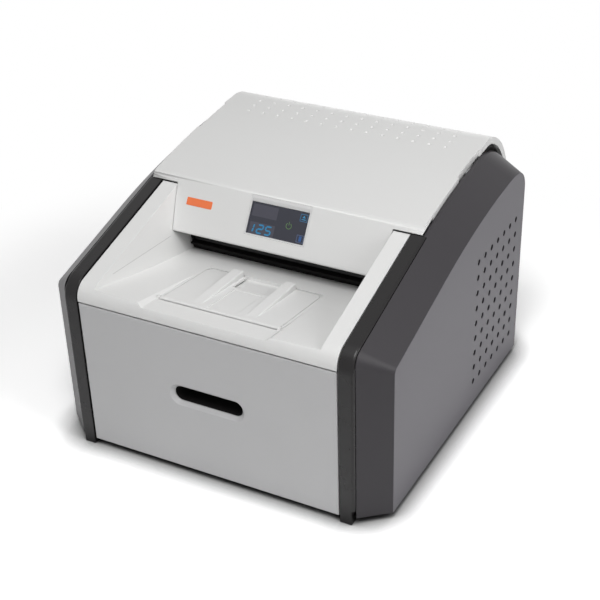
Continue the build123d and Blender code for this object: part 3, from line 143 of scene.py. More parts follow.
class ImagerStage(bpy.types.PropertyGroup):
    """Floor and light."""

    floor: size("Floor", "Half width of the floor", 9000)
    shadow: size("Shadow reach", "Radius inside which the floor shows shadows in full", 620)
    # The contact shadow on the floor is painted from ambient occlusion in the paper's colour.
    painted_contact_shadow: size("Contact shadow", "Reach of the dark rim where the object stands on the floor", 50)
    dome: bpy.props.FloatProperty(name="Dome", description="Brightness of the soft dome", default=0.13, min=0)
    top: power("Top", "Power of the overhead lamp", 8.0)
    key: power("Key", "Power of the key lamp", 48.0)
    side: power("Side", "Power of the side lamp", 29.0)
    back: power("Back", "Power of the rear lamp", 5.0)


def colours():
    return bpy.context.scene.imager_colours


def sizes():
    return bpy.context.scene.imager_sizes


def add(tree, kind, inputs=None, **settings):
    """Add one node: settings are its properties, and inputs are its sockets' values or sources."""
    node = tree.nodes.new(kind)
    for name, value in settings.items():
        setattr(node, name, value)
    for key, value in (inputs or {}).items():
        if isinstance(value, bpy.types.NodeSocket):
            tree.links.new(value, node.inputs[key])
        else:
            node.inputs[key].default_value = value
    return node


def reckon(tree, operation, *values):
    """The result of one sum on sockets and numbers."""
    return add(tree, "ShaderNodeMath", dict(enumerate(values)), operation=operation).outputs[0]


def vector(tree, *parts):
    """A vector put together from three sockets or numbers."""
    return add(tree, "ShaderNodeCombineXYZ", dict(enumerate(parts))).outputs[0]


def blend(tree, share, first, second):
    """Two colours mixed by a share from 0 to 1."""
    return add(tree, "ShaderNodeMix", {0: share, 6: first, 7: second}, data_type="RGBA").outputs[2]


def emptied(block):
    """The node tree of a new material or world, with nothing in it yet."""
    block.use_nodes = True
    block.node_tree.nodes.clear()
    return block.node_tree


def finish(name, colour, mottled, mottle, rough, grain, edge, shine=None):
    """A solid finish: faint mottling, surface grain, and edges rounded as the tool or press leaves them.

    rough holds the mean roughness and how far it strays, and grain its spacing and its height. All
    lengths are in millimetres. Returns the material, and the sockets that a pattern can be worked into."""
    material = bpy.data.materials.new(name)
    tree = emptied(material)
    place = add(tree, "ShaderNodeTexCoord").outputs["Object"]
    clouds = add(tree, "ShaderNodeTexNoise", {"Vector": place, "Scale": 1000 / mottle, "Detail": 3.0})
    drift = clouds.outputs["Fac"]
    tone = blend(tree, drift, filled(colour), filled(mottled))
    (mean, stray), (spacing, relief) = rough, grain
    limits = {"Value": drift, "To Min": mean - stray, "To Max": mean + stray}
    gloss = add(tree, "ShaderNodeMapRange", limits).outputs[0]
    grains = add(tree, "ShaderNodeTexNoise", {"Vector": place, "Scale": 1000 / spacing, "Detail": 2.0})
    height = reckon(tree, "MULTIPLY", grains.outputs["Fac"], relief * MM)
    rounding = add(tree, "ShaderNodeBevel", {"Radius": edge * MM}, samples=6).outputs[0]
    bump = add(
        tree, "ShaderNodeBump", {"Height": height, "Normal": rounding, "Strength": 1.0, "Distance": 1.0}
    )
    shader = add(
        tree,
        "ShaderNodeBsdfPrincipled",
        {"Base Color": tone, "Roughness": gloss, "Normal": bump.outputs[0], **(shine or {})},
    )
    add(tree, "ShaderNodeOutputMaterial", {"Surface": shader.outputs[0]})
    return {
        "material": material,
        "tree": tree,
        "place": place,
        "colour": tone,
        "roughness": gloss,
        "shader": shader,
    }


def axes(look):
    """The three Object coordinates of a finish, in metres."""
    return add(look["tree"], "ShaderNodeSeparateXYZ", {0: look["place"]}).outputs[:3]


def within(look, value, centre, half):
    """1 where a coordinate lies within half of centre, both in millimetres."""
    return reckon(look["tree"], "COMPARE", value, centre * MM, half * MM)


def beyond(look, half):
    """1 where a point lies farther than half to the left or the right of the middle, in metres."""
    across = reckon(look["tree"], "ABSOLUTE", axes(look)[0])
    return reckon(look["tree"], "GREATER_THAN", across, half)


def both(look, *masks):
    """1 where every mask is 1."""
    joined = masks[0]
    for mask in masks[1:]:
        joined = reckon(look["tree"], "MULTIPLY", joined, mask)
    return joined


def recolour(look, mask, colour, roughness=None, metallic=None):
    """Give the part of a finish under a mask its own colour, and its own shine where that differs."""
    tree, shader = look["tree"], look["shader"]
    look["colour"] = blend(tree, mask, look["colour"], filled(colour))
    tree.links.new(look["colour"], shader.inputs["Base Color"])
    if roughness is not None:
        mix = add(tree, "ShaderNodeMix", {0: mask, 2: look["roughness"], 3: roughness})
        look["roughness"] = mix.outputs[0]
        tree.links.new(look["roughness"], shader.inputs["Roughness"])
    if metallic is not None:
        mix = add(tree, "ShaderNodeMix", {0: mask, 2: shader.inputs["Metallic"].default_value, 3: metallic})
        tree.links.new(mix.outputs[0], shader.inputs["Metallic"])


def streak(look, density, detail, colour):
    """Draw fine lines in a colour through a finish: they run along the axis where they lie least dense."""
    drawn = add(look["tree"], "ShaderNodeMapping", {"Vector": look["place"], "Scale": density}).outputs[0]
    lines = add(look["tree"], "ShaderNodeTexNoise", {"Vector": drawn, "Scale": 1.0, "Detail": detail})
    recolour(look, lines.outputs["Fac"], colour)


def shade(names, look):
    """Give CAD nodes their finish."""
    for name in names:
        for slot in nodes[name].material_slots:
            slot.material = look["material"]


def coat(names, *form, **shape):
    """Give CAD nodes a finish of their own and return it."""
    look = finish(*form, **shape)
    shade(names, look)
    return look


class FinishCasing(bpy.types.Operator):
    """Finish the moulded casing: hood, exit tray, flap, drawer front, side covers and trims"""

    bl_idname = "imager.finish_casing"
    bl_label = "Finish casing"

    def execute(self, context):
        c, s = colours(), sizes()
        # Injection-moulded ABS from a spark-eroded tool: a soft, even sheen with no sharp reflection.
        # The real grain is 0.3 mm; it is drawn at 1.2 mm so that it shows.
        pale, paler = toned(c.casing, 1.02), toned(c.casing, 1.05)
        tray = coat(
            ["exit_tray_cover", "film_stop_flap"], "abs_moulded_white", paler, pale,
           mottle=90, rough=(0.42, 0.04), grain=(1.2, 0.012), edge=1.2,
        )
        # A thin darker line along both cheek walls is painted shade, for the crease between wall and floor.
        y, z = axes(tray)[1:]
        crease_shade_height, crease_shade_thickness = 315, 0.7
        crease_shade_middle, crease_shade_length = FRONT + 134, 156
        level = within(tray, z, crease_shade_height, crease_shade_thickness / 2)
        line = both(tray, level, within(tray, y, crease_shade_middle, crease_shade_length / 2))
        recolour(tray, line, toned(c.casing, 0.62))

        # The hood is the same ABS from a larger tool, so its tone drifts over a longer distance.
        hood = coat(
            ["hood"], "abs_moulded_white_hood", c.casing, toned(c.casing, 0.975),
           mottle=120, rough=(0.42, 0.04), grain=(1.2, 0.01), edge=1.2,
        )
        first_row = FRONT + 492
        values = {
            "Radius": s.dimple_radius,
            "Depth": s.dimple_depth,
            "Pitch": (s.dimple_pitch_x, s.dimple_pitch_y, 0.0),
            "First row": first_row * MM,
            "Columns": 14,
            "Rows": 4,
            "Material": hood["material"],
        }
        data = apply_tree(merged_copy("hood"), dimple_tree(), values)
        bend = 25
        dimpled = place_piece("hood_dimpled", data, hood["material"], "hood", bend)
        keep_shading(dimpled.data, smooth_copy("hood", bend))
        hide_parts("hood")

        # The bezel is moulded in the same ABS, toned greyer and with a finer, smoother grain.
        coat(
            ["display_bezel"], "abs_moulded_grey_bezel", c.bezel, toned(c.bezel, 0.97),
           mottle=60, rough=(0.36, 0.03), grain=(1.0, 0.006), edge=0.8,
        )
        # Silver-grey paint on moulded ABS: a satin coat that shows the lamps as broad, soft gradients.
        coat(
            ["drawer_front"], "abs_painted_silver_grey", c.front, toned(c.front, 0.96),
           mottle=140, rough=(0.38, 0.03), grain=(0.9, 0.006), edge=1.4,
        )
        # Satin ABS with a fine etched grain, dark grey on the smooth bevels.
        # The real grain is 0.4 mm; it is drawn at 1.4 mm so that it shows.
        covers = ["right_side_cover", "left_side_cover"]
        side = coat(
            covers, "abs_fine_grain_dark_grey", c.bevel, toned(c.bevel, 0.93),
           mottle=60, rough=(0.38, 0.03), grain=(1.4, 0.012), edge=1.8, shine=DULL,
        )
        # The flat outer face is painted paler, as painted light for a lamp on the right, and is a little
        # rougher.
        face_depth = 0.3 * MM
        painted_lit_face = beyond(side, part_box("right_side_cover")[1].x - face_depth)
        recolour(side, painted_lit_face, c.side, 0.42)

        # Smooth charcoal ABS: near black, with a clear sheen along the bends and rounded edges.
        coat(
            ["right_trim", "left_trim"], "abs_smooth_charcoal", c.trim, toned(c.trim, 0.92),
           mottle=40, rough=(0.27, 0.04), grain=(1.3, 0.006), edge=2.2, shine={"Specular IOR Level": 0.32},
        )
        return {"FINISHED"}


class FinishBlackPlastic(bpy.types.Operator):
    """Finish the black mouldings: exit guide, handle cup, cartridge, fan, sockets and gears"""

    bl_idname = "imager.finish_black_plastic"
    bl_label = "Finish black mouldings"

    def execute(self, context):
        # Black polystyrene from a textured tool: light-tight, dull and slightly dusty.
        coat(
            ["exit_guide", "handle_cup", "film_cartridge", "optics_lid"],
            "polystyrene_textured_black", "0F0E0E", "161515",
           mottle=35, rough=(0.7, 0.06), grain=(1.1, 0.03), edge=0.5, shine=DULL,
        )
        # Glass-filled PBT: short fibres make the moulded surface mottled and semi-gloss.
        coat(
            ["fan_frame", "fan_rotor", "network_port"], "pbt_glass_filled_black", "131314", "222223",
           mottle=6, rough=(0.45, 0.1), grain=(0.8, 0.01), edge=0.4,
        )
        # Nylon gears, moulded and lightly greased, so the flanks shine more than the web.
        coat(
            ["drum_gear", "motor_pinion"], "nylon_moulded_greased", "1C1C1E", "29292B",
           mottle=12, rough=(0.34, 0.12), grain=(0.9, 0.008), edge=0.3,
        )
        # The inlet is moulded polyamide with three nickel-plated brass contacts.
        inlet = coat(
            ["power_inlet"], "polyamide_moulded_black", "151515", "1E1E1E",
           mottle=20, rough=(0.4, 0.06), grain=(0.9, 0.01), edge=0.4,
        )
        x, y, z = axes(inlet)
        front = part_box("power_inlet")[0].y / MM
        reach = ((x, 175, 8.3), (y, front + 11, 7.9), (z, 85, 6))
        contacts = both(inlet, *(within(inlet, along, middle, half) for along, middle, half in reach))
        recolour(inlet, contacts, "C9C3B4", 0.25, 1.0)

        # The rocker is the same polyamide from a polished tool.
        coat(
            ["power_rocker"], "polyamide_glossy_black", "101010", "181818",
           mottle=15, rough=(0.22, 0.05), grain=(1.5, 0.004), edge=0.6,
        )
        return {"FINISHED"}


class FinishSteel(bpy.types.Operator):
    """Finish the steel sheet, the slides and the shafts"""

    bl_idname = "imager.finish_steel"
    bl_label = "Finish steel"

    def execute(self, context):
        # Hot-dip galvanised sheet: flat crystals of zinc, each a little lighter or darker.
        frames = ["base_chassis", "right_side_frame", "left_side_frame", "cross_bars", "processor_plates"]
        sheet = coat(
            [*frames, "drawer_tray", "hinge_brackets", "power_supply"],
            "steel_sheet_galvanised", "A9ACAE", "C3C5C6",
           mottle=60, rough=(0.38, 0.08), grain=(2.0, 0.004), edge=0.4, shine=METAL,
        )
        tree = sheet["tree"]
        crystal = 9.0
        spangle = add(tree, "ShaderNodeTexVoronoi", {"Vector": sheet["place"], "Scale": 1000 / crystal})
        level = add(tree, "ShaderNodeRGBToBW", {0: spangle.outputs["Color"]}).outputs[0]
        recolour(sheet, reckon(tree, "MULTIPLY", level, 0.45), "8F9396")

        # Powder-coated steel: the pebbled coat of the rear panel is matt and mid grey.
        coat(
            ["rear_panel"], "steel_powder_coated_grey", "8C8C8E", "838385",
           mottle=50, rough=(0.5, 0.05), grain=(1.3, 0.04), edge=0.8,
        )
        # Cold-rolled rails, bright zinc plated and drawn lengthwise, so the streaks run along the slide.
        rail = coat(
            ["fixed_slide_rails", "middle_slide_rails", "drawer_slide_rails"],
            "steel_rail_zinc_plated", "B9BCBF", "9DA1A5",
           mottle=8, rough=(0.28, 0.08), grain=(1.2, 0.003), edge=0.3, shine=METAL,
        )
        streak(rail, (400, 6, 400), 3.0, "D0D2D4")

        # Ground steel: fine and bright, with a clear highlight along the shaft.
        coat(
            ["hinge_pins", "scanner_motor", "drive_motor"], "steel_shaft_ground", "C4C5C7", "A8AAAC",
           mottle=5, rough=(0.22, 0.05), grain=(0.7, 0.002), edge=0.3, shine=METAL,
        )
        return {"FINISHED"}


class FinishAluminium(bpy.types.Operator):
    """Finish the cast, rolled and coated aluminium parts"""

    bl_idname = "imager.finish_aluminium"
    bl_label = "Finish aluminium"

    def execute(self, context):
        # Die-cast aluminium: dull, with the flow marks of the die.
        coat(
            ["optics_housing", "pickup_arm", "laser_diode"], "aluminium_die_cast", "A5A6A8", "8F9193",
           mottle=28, rough=(0.5, 0.1), grain=(1.4, 0.03), edge=0.8, shine=METAL,
        )
        # Rolled aluminium, brushed across the film's way.
        rolled = coat(
            ["cooling_plate", "film_guide"], "aluminium_brushed", "C8C9CB", "B3B4B6",
           mottle=40, rough=(0.3, 0.06), grain=(1.5, 0.003), edge=0.3, shine=METAL,
        )
        streak(rolled, (8, 500, 500), 4.0, "DADBDC")

        # Aluminium drum under a sleeve of grey silicone rubber; its shaft and end discs are bare.
        drum = coat(
            ["heated_drum"], "silicone_sleeve_grey", "6E7274", "666A6C",
           mottle=25, rough=(0.42, 0.06), grain=(1.0, 0.01), edge=0.6,
        )
        sleeve = 197
        recolour(drum, beyond(drum, sleeve * MM), "B4B5B7", 0.3, 1.0)

        # Diamond-turned facets reflect like a mirror.
        coat(
            ["polygon_mirror"], "aluminium_diamond_turned", "E4E5E6", "DCDDDE",
           mottle=30, rough=(0.06, 0.02), grain=(3.0, 0.0005), edge=0.2, shine=METAL,
        )
        return {"FINISHED"}


class FinishRubber(bpy.types.Operator):
    """Finish the rollers, feet and suction cups"""

    bl_idname = "imager.finish_rubber"
    bl_label = "Finish rubber"

    def execute(self, context):
        # EPDM feet, moulded and matt.
        coat(
            ["rubber_feet"], "epdm_moulded_black", "1B1B1B", "242424",
           mottle=14, rough=(0.7, 0.06), grain=(0.9, 0.03), edge=0.6,
        )
        # Nitrile cups are soft and faintly glossy.
        coat(
            ["suction_cups"], "nitrile_moulded_black", "1A1918", "23211F",
           mottle=10, rough=(0.45, 0.08), grain=(0.8, 0.01), edge=0.4,
        )
        # A ground sleeve on a steel shaft: the grinding leaves the rubber dull and the journals bright.
        pressing = [name for name in nodes if name.startswith("pressure_roller")]
        carrying = [name for name in nodes if name.endswith(("feed_roller", "idle_roller", "exit_roller"))]
        for members, name, rubber, sleeve in (
            (carrying, "epdm_ground_on_shaft", "2A2A2B", 185),
            (pressing, "silicone_ground_on_shaft", "8E4A38", 192),
        ):
            roller = coat(
                members, name, rubber, toned(rubber, 1.2),
               mottle=9, rough=(0.6, 0.08), grain=(0.8, 0.02), edge=0.4,
            )
            recolour(roller, beyond(roller, (sleeve + 0.01) * MM), "C2C3C5", 0.24, 1.0)
        return {"FINISHED"}


class FinishBoards(bpy.types.Operator):
    """Finish the circuit boards, the filter and the optics glass"""

    bl_idname = "imager.finish_boards"
    bl_label = "Finish boards, filter and glass"

    def execute(self, context):
        # Glass-epoxy board under green solder mask: tracks show as a paler green, chips as black blocks.
        board = coat(
            ["main_board", "display_board"], "fr4_solder_mask_green", "12432B", "174F34",
           mottle=30, rough=(0.3, 0.05), grain=(1.0, 0.004), edge=0.2,
        )
        tree = board["tree"]
        quarter = (math.pi / 2, 0, 0)
        upright = add(tree, "ShaderNodeMapping", {"Vector": board["place"], "Rotation": quarter})
        track, black, white = 12.0, (0, 0, 0, 1), (1, 1, 1, 1)
        look = {"Color1": black, "Color2": black, "Mortar": white, "Scale": 1000 / track, "Mortar Size": 0.05}
        runs = add(tree, "ShaderNodeTexBrick", {"Vector": upright.outputs[0], **look})
        recolour(board, runs.outputs["Color"], "2C7A52")
        # The chips stand on the front of the main board, which is the board in the rear of the machine.
        y = axes(board)[1]
        chip_back, rear_part = 9.5, 200
        chips = reckon(tree, "LESS_THAN", y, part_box("main_board")[0].y + chip_back * MM)
        rear = reckon(tree, "GREATER_THAN", y, rear_part * MM)
        recolour(board, both(board, chips, rear), "161616", 0.5)

        # Nonwoven charcoal pleats: a dull, fibrous black.
        coat(
            ["charcoal_filter"], "charcoal_nonwoven", "1E1D1C", "2E2C2A",
           mottle=5, rough=(0.9, 0.05), grain=(1.2, 0.15), edge=0.5,
        )
        # Coated optical glass: clear, with the faint violet of its antireflection coat.
        clear = {"Transmission Weight": 0.9, "IOR": 1.52}
        coat(
            ["scan_lens"], "glass_coated_optical", "E9E6F2", "E2E6F0",
           mottle=50, rough=(0.04, 0.01), grain=(5.0, 0.0003), edge=0.3, shine=clear,
        )
        # Tinted acrylic over a dark display: deep slate with a clear surface reflection.
        c = colours()
        coat(
            ["display_glass"], "acrylic_tinted_window", c.window, toned(c.window, 0.93),
           mottle=40, rough=(0.16, 0.03), grain=(4.0, 0.001), edge=0.3,
        )
        return {"FINISHED"}


def panel_point(x, along, lift):
    """A point on the user panel: x across, along it from its crease, lift out of it, in millimetres."""
    crease, corner = (Vector((0, FRONT + behind, high)) for behind, high in (PANEL_FOOT, PANEL_TOP))
    up = (corner - crease).normalized()
    out = Vector((0, -up.z, up.y))
    return (crease + Vector((x, 0, 0)) + up * along + out * lift) * MM


def panel_ring(mesh, outline, lift):
    """Vertices round a flat outline of (x, along) points on the user panel."""
    return [mesh.verts.new(panel_point(x, along, lift)) for x, along in outline]


def band(mesh, first, second):
    """Join two rings of vertices with faces."""
    for i in range(len(first)):
        mesh.faces.new((first[i - 1], first[i], second[i], second[i - 1]))


def slab(mesh, bottom, top):
    """Close two rings of vertices into a solid."""
    mesh.faces.new(top)
    mesh.faces.new(reversed(bottom))
    band(mesh, bottom, top)


def prism(mesh, outline, low=MARK_LOW, high=MARK_HIGH):
    """Add a flat outline on the user panel to a mesh, given thickness between two lifts."""
    slab(mesh, panel_ring(mesh, outline, low), panel_ring(mesh, outline, high))


def hollow(mesh, outer, inner):
    """Add a frame between two outlines with as many points each, as thick as a mark."""
    round_trip = ((outer, MARK_LOW), (outer, MARK_HIGH), (inner, MARK_HIGH), (inner, MARK_LOW))
    rings = [panel_ring(mesh, outline, lift) for outline, lift in round_trip]
    for i, ring in enumerate(rings):
        band(mesh, rings[i - 1], ring)


def arc(centre, radius, start, sweep, steps):
    """Points along an arc, with its start and sweep in degrees."""
    angles = [math.radians(start + sweep * i / steps) for i in range(steps + 1)]
    return [(centre[0] + radius * math.cos(t), centre[1] + radius * math.sin(t)) for t in angles]


def rounded(x0, x1, a0, a1, radius, steps=5):
    """Corners of a rounded rectangle, counter-clockwise."""
    left, right, low, high = x0 + radius, x1 - radius, a0 + radius, a1 - radius
    points = []
    for centre, start in (((right, low), -90), ((right, high), 0), ((left, high), 90), ((left, low), 180)):
        points += arc(centre, radius, start, 90, steps)
    return points


def stand(name, data):
    """A new object in the scene that holds the data."""
    thing = bpy.data.objects.new(name, data)
    bpy.context.scene.collection.objects.link(thing)
    return thing


def smooth(data, angle):
    """Shade a mesh smoothly but for the edges that bend by more than an angle in degrees."""
    for face in data.polygons:
        face.use_smooth = True
    data.set_sharp_from_angle(angle=math.radians(angle))


def make_piece(name, mesh, material, body, smooth_angle=30):
    """Turn a built mesh into a finished piece that rides on a body."""
    bmesh.ops.remove_doubles(mesh, verts=mesh.verts, dist=1e-7)
    bmesh.ops.recalc_face_normals(mesh, faces=mesh.faces)
    data = bpy.data.meshes.new(name)
    mesh.to_mesh(data)
    mesh.free()
    return place_piece(name, data, material, body, smooth_angle)


def place_piece(name, data, material, body, smooth_angle=30):
    """Put a finished mesh in the scene as a piece."""
    data.materials.clear()
    data.materials.append(material)
    smooth(data, smooth_angle)
    piece = stand(name, data)
    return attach(piece, body)


def lit(name, colour, strength):
    """A lit mark behind the window: its colour with a faint glow, a little uneven as a light guide is."""
    pale = toned(colour, 0.8)
    look = finish(name, colour, pale, mottle=3, rough=(0.3, 0.05), grain=(2.0, 0.001), edge=0.1)
    look["tree"].links.new(look["colour"], look["shader"].inputs["Emission Color"])
    look["shader"].inputs["Emission Strength"].default_value = strength
    return look["material"]


def show(name, mesh, material):
    """Put a mark on the display, which the hood carries."""
    make_piece(name, mesh, material, "hood")


def bar_outline(start, end, half, gap):
    """A lit bar between two points, with pointed tips that stop short of them by the gap."""
    way = (end - start).normalized()
    side = Vector((way.y, -way.x)) * half
    first, last = start + way * gap, end - way * gap
    near, far = first + way * half, last - way * half
    return [first, near + side, far + side, last, far - side, near - side]


class AddDisplayMarks(bpy.types.Operator):
    """Add the film count, the power symbol and the two key symbols behind the display window"""

    bl_idname = "imager.add_display_marks"
    bl_label = "Add display marks"

    def execute(self, context):
        # Printed fields of the window, a shade lighter than the tint.
        fields = bmesh.new()
        for x0, x1, a0, a1 in ((-51, -3.8, 47, 67.6), (-51, -3.5, 16.4, 37.2)):
            prism(fields, rounded(x0, x1, a0, a1, 0.8), high=FIELD_HIGH)
        printed = finish(
            "acrylic_printed_field", "3F3F4B", "3B3B47",
           mottle=30, rough=(0.2, 0.03), grain=(4.0, 0.001), edge=0.2,
        )
        show("display_fields", fields, printed["material"])
        self.add_digits("125")
        self.add_power_symbol()
        self.add_keys()
        return {"FINISHED"}

    def add_digits(self, number):
        """Lit digits of seven bars each, which lean to the right."""
        s = sizes()
        height, width, stroke = s.digit_height / MM, s.digit_width / MM, s.digit_stroke / MM
        half, gap, slant, foot = stroke / 2, 0.15, 0.16, 18.6
        lefts = (-55.6, -37.8, -22.6)
        near, far = half, width - half
        bottom, middle, top = half, height / 2, height - half
        bars = {
            "a": ((near, top), (far, top)),
            "g": ((near, middle), (far, middle)),
            "d": ((near, bottom), (far, bottom)),
            "f": ((near, middle), (near, top)),
            "b": ((far, middle), (far, top)),
            "e": ((near, bottom), (near, middle)),
            "c": ((far, bottom), (far, middle)),
        }
        digits = bmesh.new()
        for left, digit in zip(lefts, number):
            for bar in DIGIT_BARS[digit]:
                start, end = (Vector(point) for point in bars[bar])
                shape = bar_outline(start, end, half, gap)
                prism(digits, [(left + x + slant * a, foot + a) for x, a in shape])
        show("display_digits", digits, lit("lit_digits_blue", colours().digits, 0.12))

    def add_power_symbol(self):
        """An open ring with an upright bar in its gap."""
        x, along = centre = (20.9, 42.6)
        radius, line, gap_half, stem_foot, stem_rise = 4.9, 0.5, 32, 1.2, 2.4
        start, sweep = 90 + gap_half, 360 - 2 * gap_half
        outer, inner = (arc(centre, radius + side, start, sweep, 28) for side in (line, -line))
        mark = bmesh.new()
        prism(mark, outer + inner[::-1])
        prism(mark, rounded(x - line, x + line, along + stem_foot, along + radius + stem_rise, 0.3, 2))
        show("power_symbol", mark, lit("lit_power_green", "547A42", 0.08))

    def add_keys(self):
        """Two framed keys: an arrow over the tray, and a sheet that lies in the drawer."""
        width, height, line = 13.6, 13.0, 1.1
        for name, x, a, frame_hex, sheet_hex, leaves in (
            ("eject_key", 38.4, 54.4, "2C668C", "2B86B4", True),
            ("drawer_key", 39.6, 19.2, "4A5878", "23508A", False),
        ):
            key = bmesh.new()
            edge = rounded(x, x + width, a, a + height, 0.9)
            inside = rounded(x + line, x + width - line, a + line, a + height - line, 0.5)
            hollow(key, edge, inside)
            show(f"{name}_frame", key, lit(f"lit_{name}_frame", frame_hex, 0.1))
            sheet = bmesh.new()
            if leaves:
                tray = [(x + 3, a + 3), (x + 10.6, a + 3), (x + 10.6, a + 4.4), (x + 3, a + 4.4)]
                arrow = [(x + 3.8, a + 6.4), (x + 9.8, a + 6.4), (x + 6.8, a + 10.4)]
                shapes = [tray, arrow]
            else:
                shapes = [rounded(x + 4.4, x + 9.4, a + 2.2, a + 11, 0.5)]
            for shape in shapes:
                prism(sheet, shape)
            show(f"{name}_sheet", sheet, lit(f"lit_{name}_sheet", sheet_hex, 0.12))


class AddBadgePlate(bpy.types.Operator):
    """Add the blank badge plate on the user panel"""

    bl_idname = "imager.add_badge_plate"
    bl_label = "Add blank badge plate"

    def execute(self, context):
        c, s = colours(), sizes()
        left, foot = -178.6, 40.4
        right, top = left + s.badge_width / MM, foot + s.badge_height / MM
        radius, rim, inner_radius = 2.0, 0.6, 1.6
        root, step, face, overlap = -0.3, 0.35, 0.5, 0.05
        plate = bmesh.new()
        prism(plate, rounded(left, right, foot, top, radius), root, step)
        raised = rounded(left + rim, right - rim, foot + rim, top - rim, inner_radius)
        prism(plate, raised, step - overlap, face)
        # Enamelled plate: an even, glossy coat, a little thicker towards the middle.
        look = finish(
            "enamel_plate_orange", c.badge, toned(c.badge, 0.95),
           mottle=12, rough=(0.25, 0.04), grain=(3.0, 0.004), edge=0.3,
        )
        make_piece("badge_plate", plate, look["material"], "hood")
        return {"FINISHED"}


def apply_tree(points, tree, values):
    """Run a node tree on a mesh of points and return the plain mesh it makes."""
    modifier = points.modifiers.new("make", "NODES")
    modifier.node_group = tree
    for item in tree.interface.items_tree:
        if item.item_type == "SOCKET" and item.in_out == "INPUT" and item.name in values:
            modifier[item.identifier] = values[item.name]
    evaluated = points.evaluated_get(bpy.context.evaluated_depsgraph_get())
    data = bpy.data.meshes.new_from_object(evaluated)
    points.modifiers.remove(modifier)
    bpy.data.objects.remove(points)
    return data


def new_tree(name, **inputs):
    """A geometry node tree with a geometry in and out and named inputs, grouped by their kind."""
    tree = bpy.data.node_groups.new(name, "GeometryNodeTree")
    face = tree.interface
    face.new_socket("Geometry", in_out="INPUT", socket_type="NodeSocketGeometry")
    for kind, labels in (*inputs.items(), ("Material", ["Material"])):
        for label in labels:
            face.new_socket(label, in_out="INPUT", socket_type="NodeSocket" + kind)
    face.new_socket("Geometry", in_out="OUTPUT", socket_type="NodeSocketGeometry")
    return tree, add(tree, "NodeGroupInput").outputs


def scatter(tree, points, instance, **turned):
    """A real copy of an instance on each point."""
    placed = add(tree, "GeometryNodeInstanceOnPoints", {"Points": points, "Instance": instance, **turned})
    return add(tree, "GeometryNodeRealizeInstances", {0: placed.outputs[0]}).outputs[0]


def carved(tree, body, cutter, crossing=False):
    """A body with the cutter taken out of it, where the cutter's own solids may cross."""
    return add(
        tree,
        "GeometryNodeMeshBoolean",
        {"Mesh 1": body, "Mesh 2": cutter, "Self Intersection": crossing},
        operation="DIFFERENCE",
        solver="EXACT",
    ).outputs[0]


def end_tree(tree, geometry, material):
    """Let the geometry leave its tree in its material."""
    dressed = add(tree, "GeometryNodeSetMaterial", {"Geometry": geometry, "Material": material})
    add(tree, "NodeGroupOutput", {0: dressed.outputs[0]})
    return tree


def screw_tree():
    """Pan head screws with a cross recess, one on each point and facing as the point says."""
    tree, given = new_tree("pan_head_screws", Float=["Head radius", "Head height"])
    radius, height = given["Head radius"], given["Head height"]
    flatten = vector(tree, 1.0, 1.0, reckon(tree, "DIVIDE", height, radius))
    ball = add(tree, "GeometryNodeMeshUVSphere", {"Segments": 20, "Rings": 10, "Radius": radius})
    head = add(tree, "GeometryNodeTransform", {"Geometry": ball.outputs["Mesh"], "Scale": flatten})
    arm_share, arm_width = 1.15, 0.26
    reach = reckon(tree, "MULTIPLY", radius, arm_share)
    breadth = reckon(tree, "MULTIPLY", radius, arm_width)
    arms = add(tree, "GeometryNodeJoinGeometry")
    for across, along in ((reach, breadth), (breadth, reach)):
        bar = add(tree, "GeometryNodeMeshCube", {"Size": vector(tree, across, along, height)})
        tree.links.new(bar.outputs["Mesh"], arms.inputs[0])
    raised = vector(tree, 0.0, 0.0, height)
    cross = add(tree, "GeometryNodeTransform", {"Geometry": arms.outputs[0], "Translation": raised})
    cut = carved(tree, head.outputs[0], cross.outputs[0], crossing=True)
    facing = add(tree, "GeometryNodeInputNamedAttribute", {"Name": "facing"}, data_type="FLOAT_VECTOR")
    turn = add(tree, "FunctionNodeAlignRotationToVector", {"Vector": facing.outputs["Attribute"]}, axis="Z")
    spin = add(tree, "FunctionNodeRandomValue", {2: 0.0, 3: math.pi / 2, "Seed": 7}, data_type="FLOAT")
    about = add(tree, "FunctionNodeAxisAngleToRotation", {"Axis": (0, 0, 1), "Angle": spin.outputs[1]})
    rotation = add(
        tree,
        "FunctionNodeRotateRotation",
        {"Rotation": turn.outputs[0], "Rotate By": about.outputs[0]},
        rotation_space="LOCAL",
    )
    screws = scatter(tree, given["Geometry"], cut, Rotation=rotation.outputs[0])
    return end_tree(tree, screws, given["Material"])


def merged_copy(name):
    """A copy of a CAD node's mesh with its triangles joined, as an object of its own."""
    mesh = bmesh.new()
    mesh.from_mesh(nodes[name].data)
    bmesh.ops.remove_doubles(mesh, verts=mesh.verts, dist=1e-6)
    data = bpy.data.meshes.new(name + "_copy")
    mesh.to_mesh(data)
    mesh.free()
    return stand(name + "_copy", data)


def smooth_copy(name, smooth_angle):
    """A joined copy of a CAD node's mesh, shaded smoothly, to read its shading from."""
    copy = merged_copy(name)
    data = copy.data
    bpy.data.objects.remove(copy)
    smooth(data, smooth_angle)
    return data


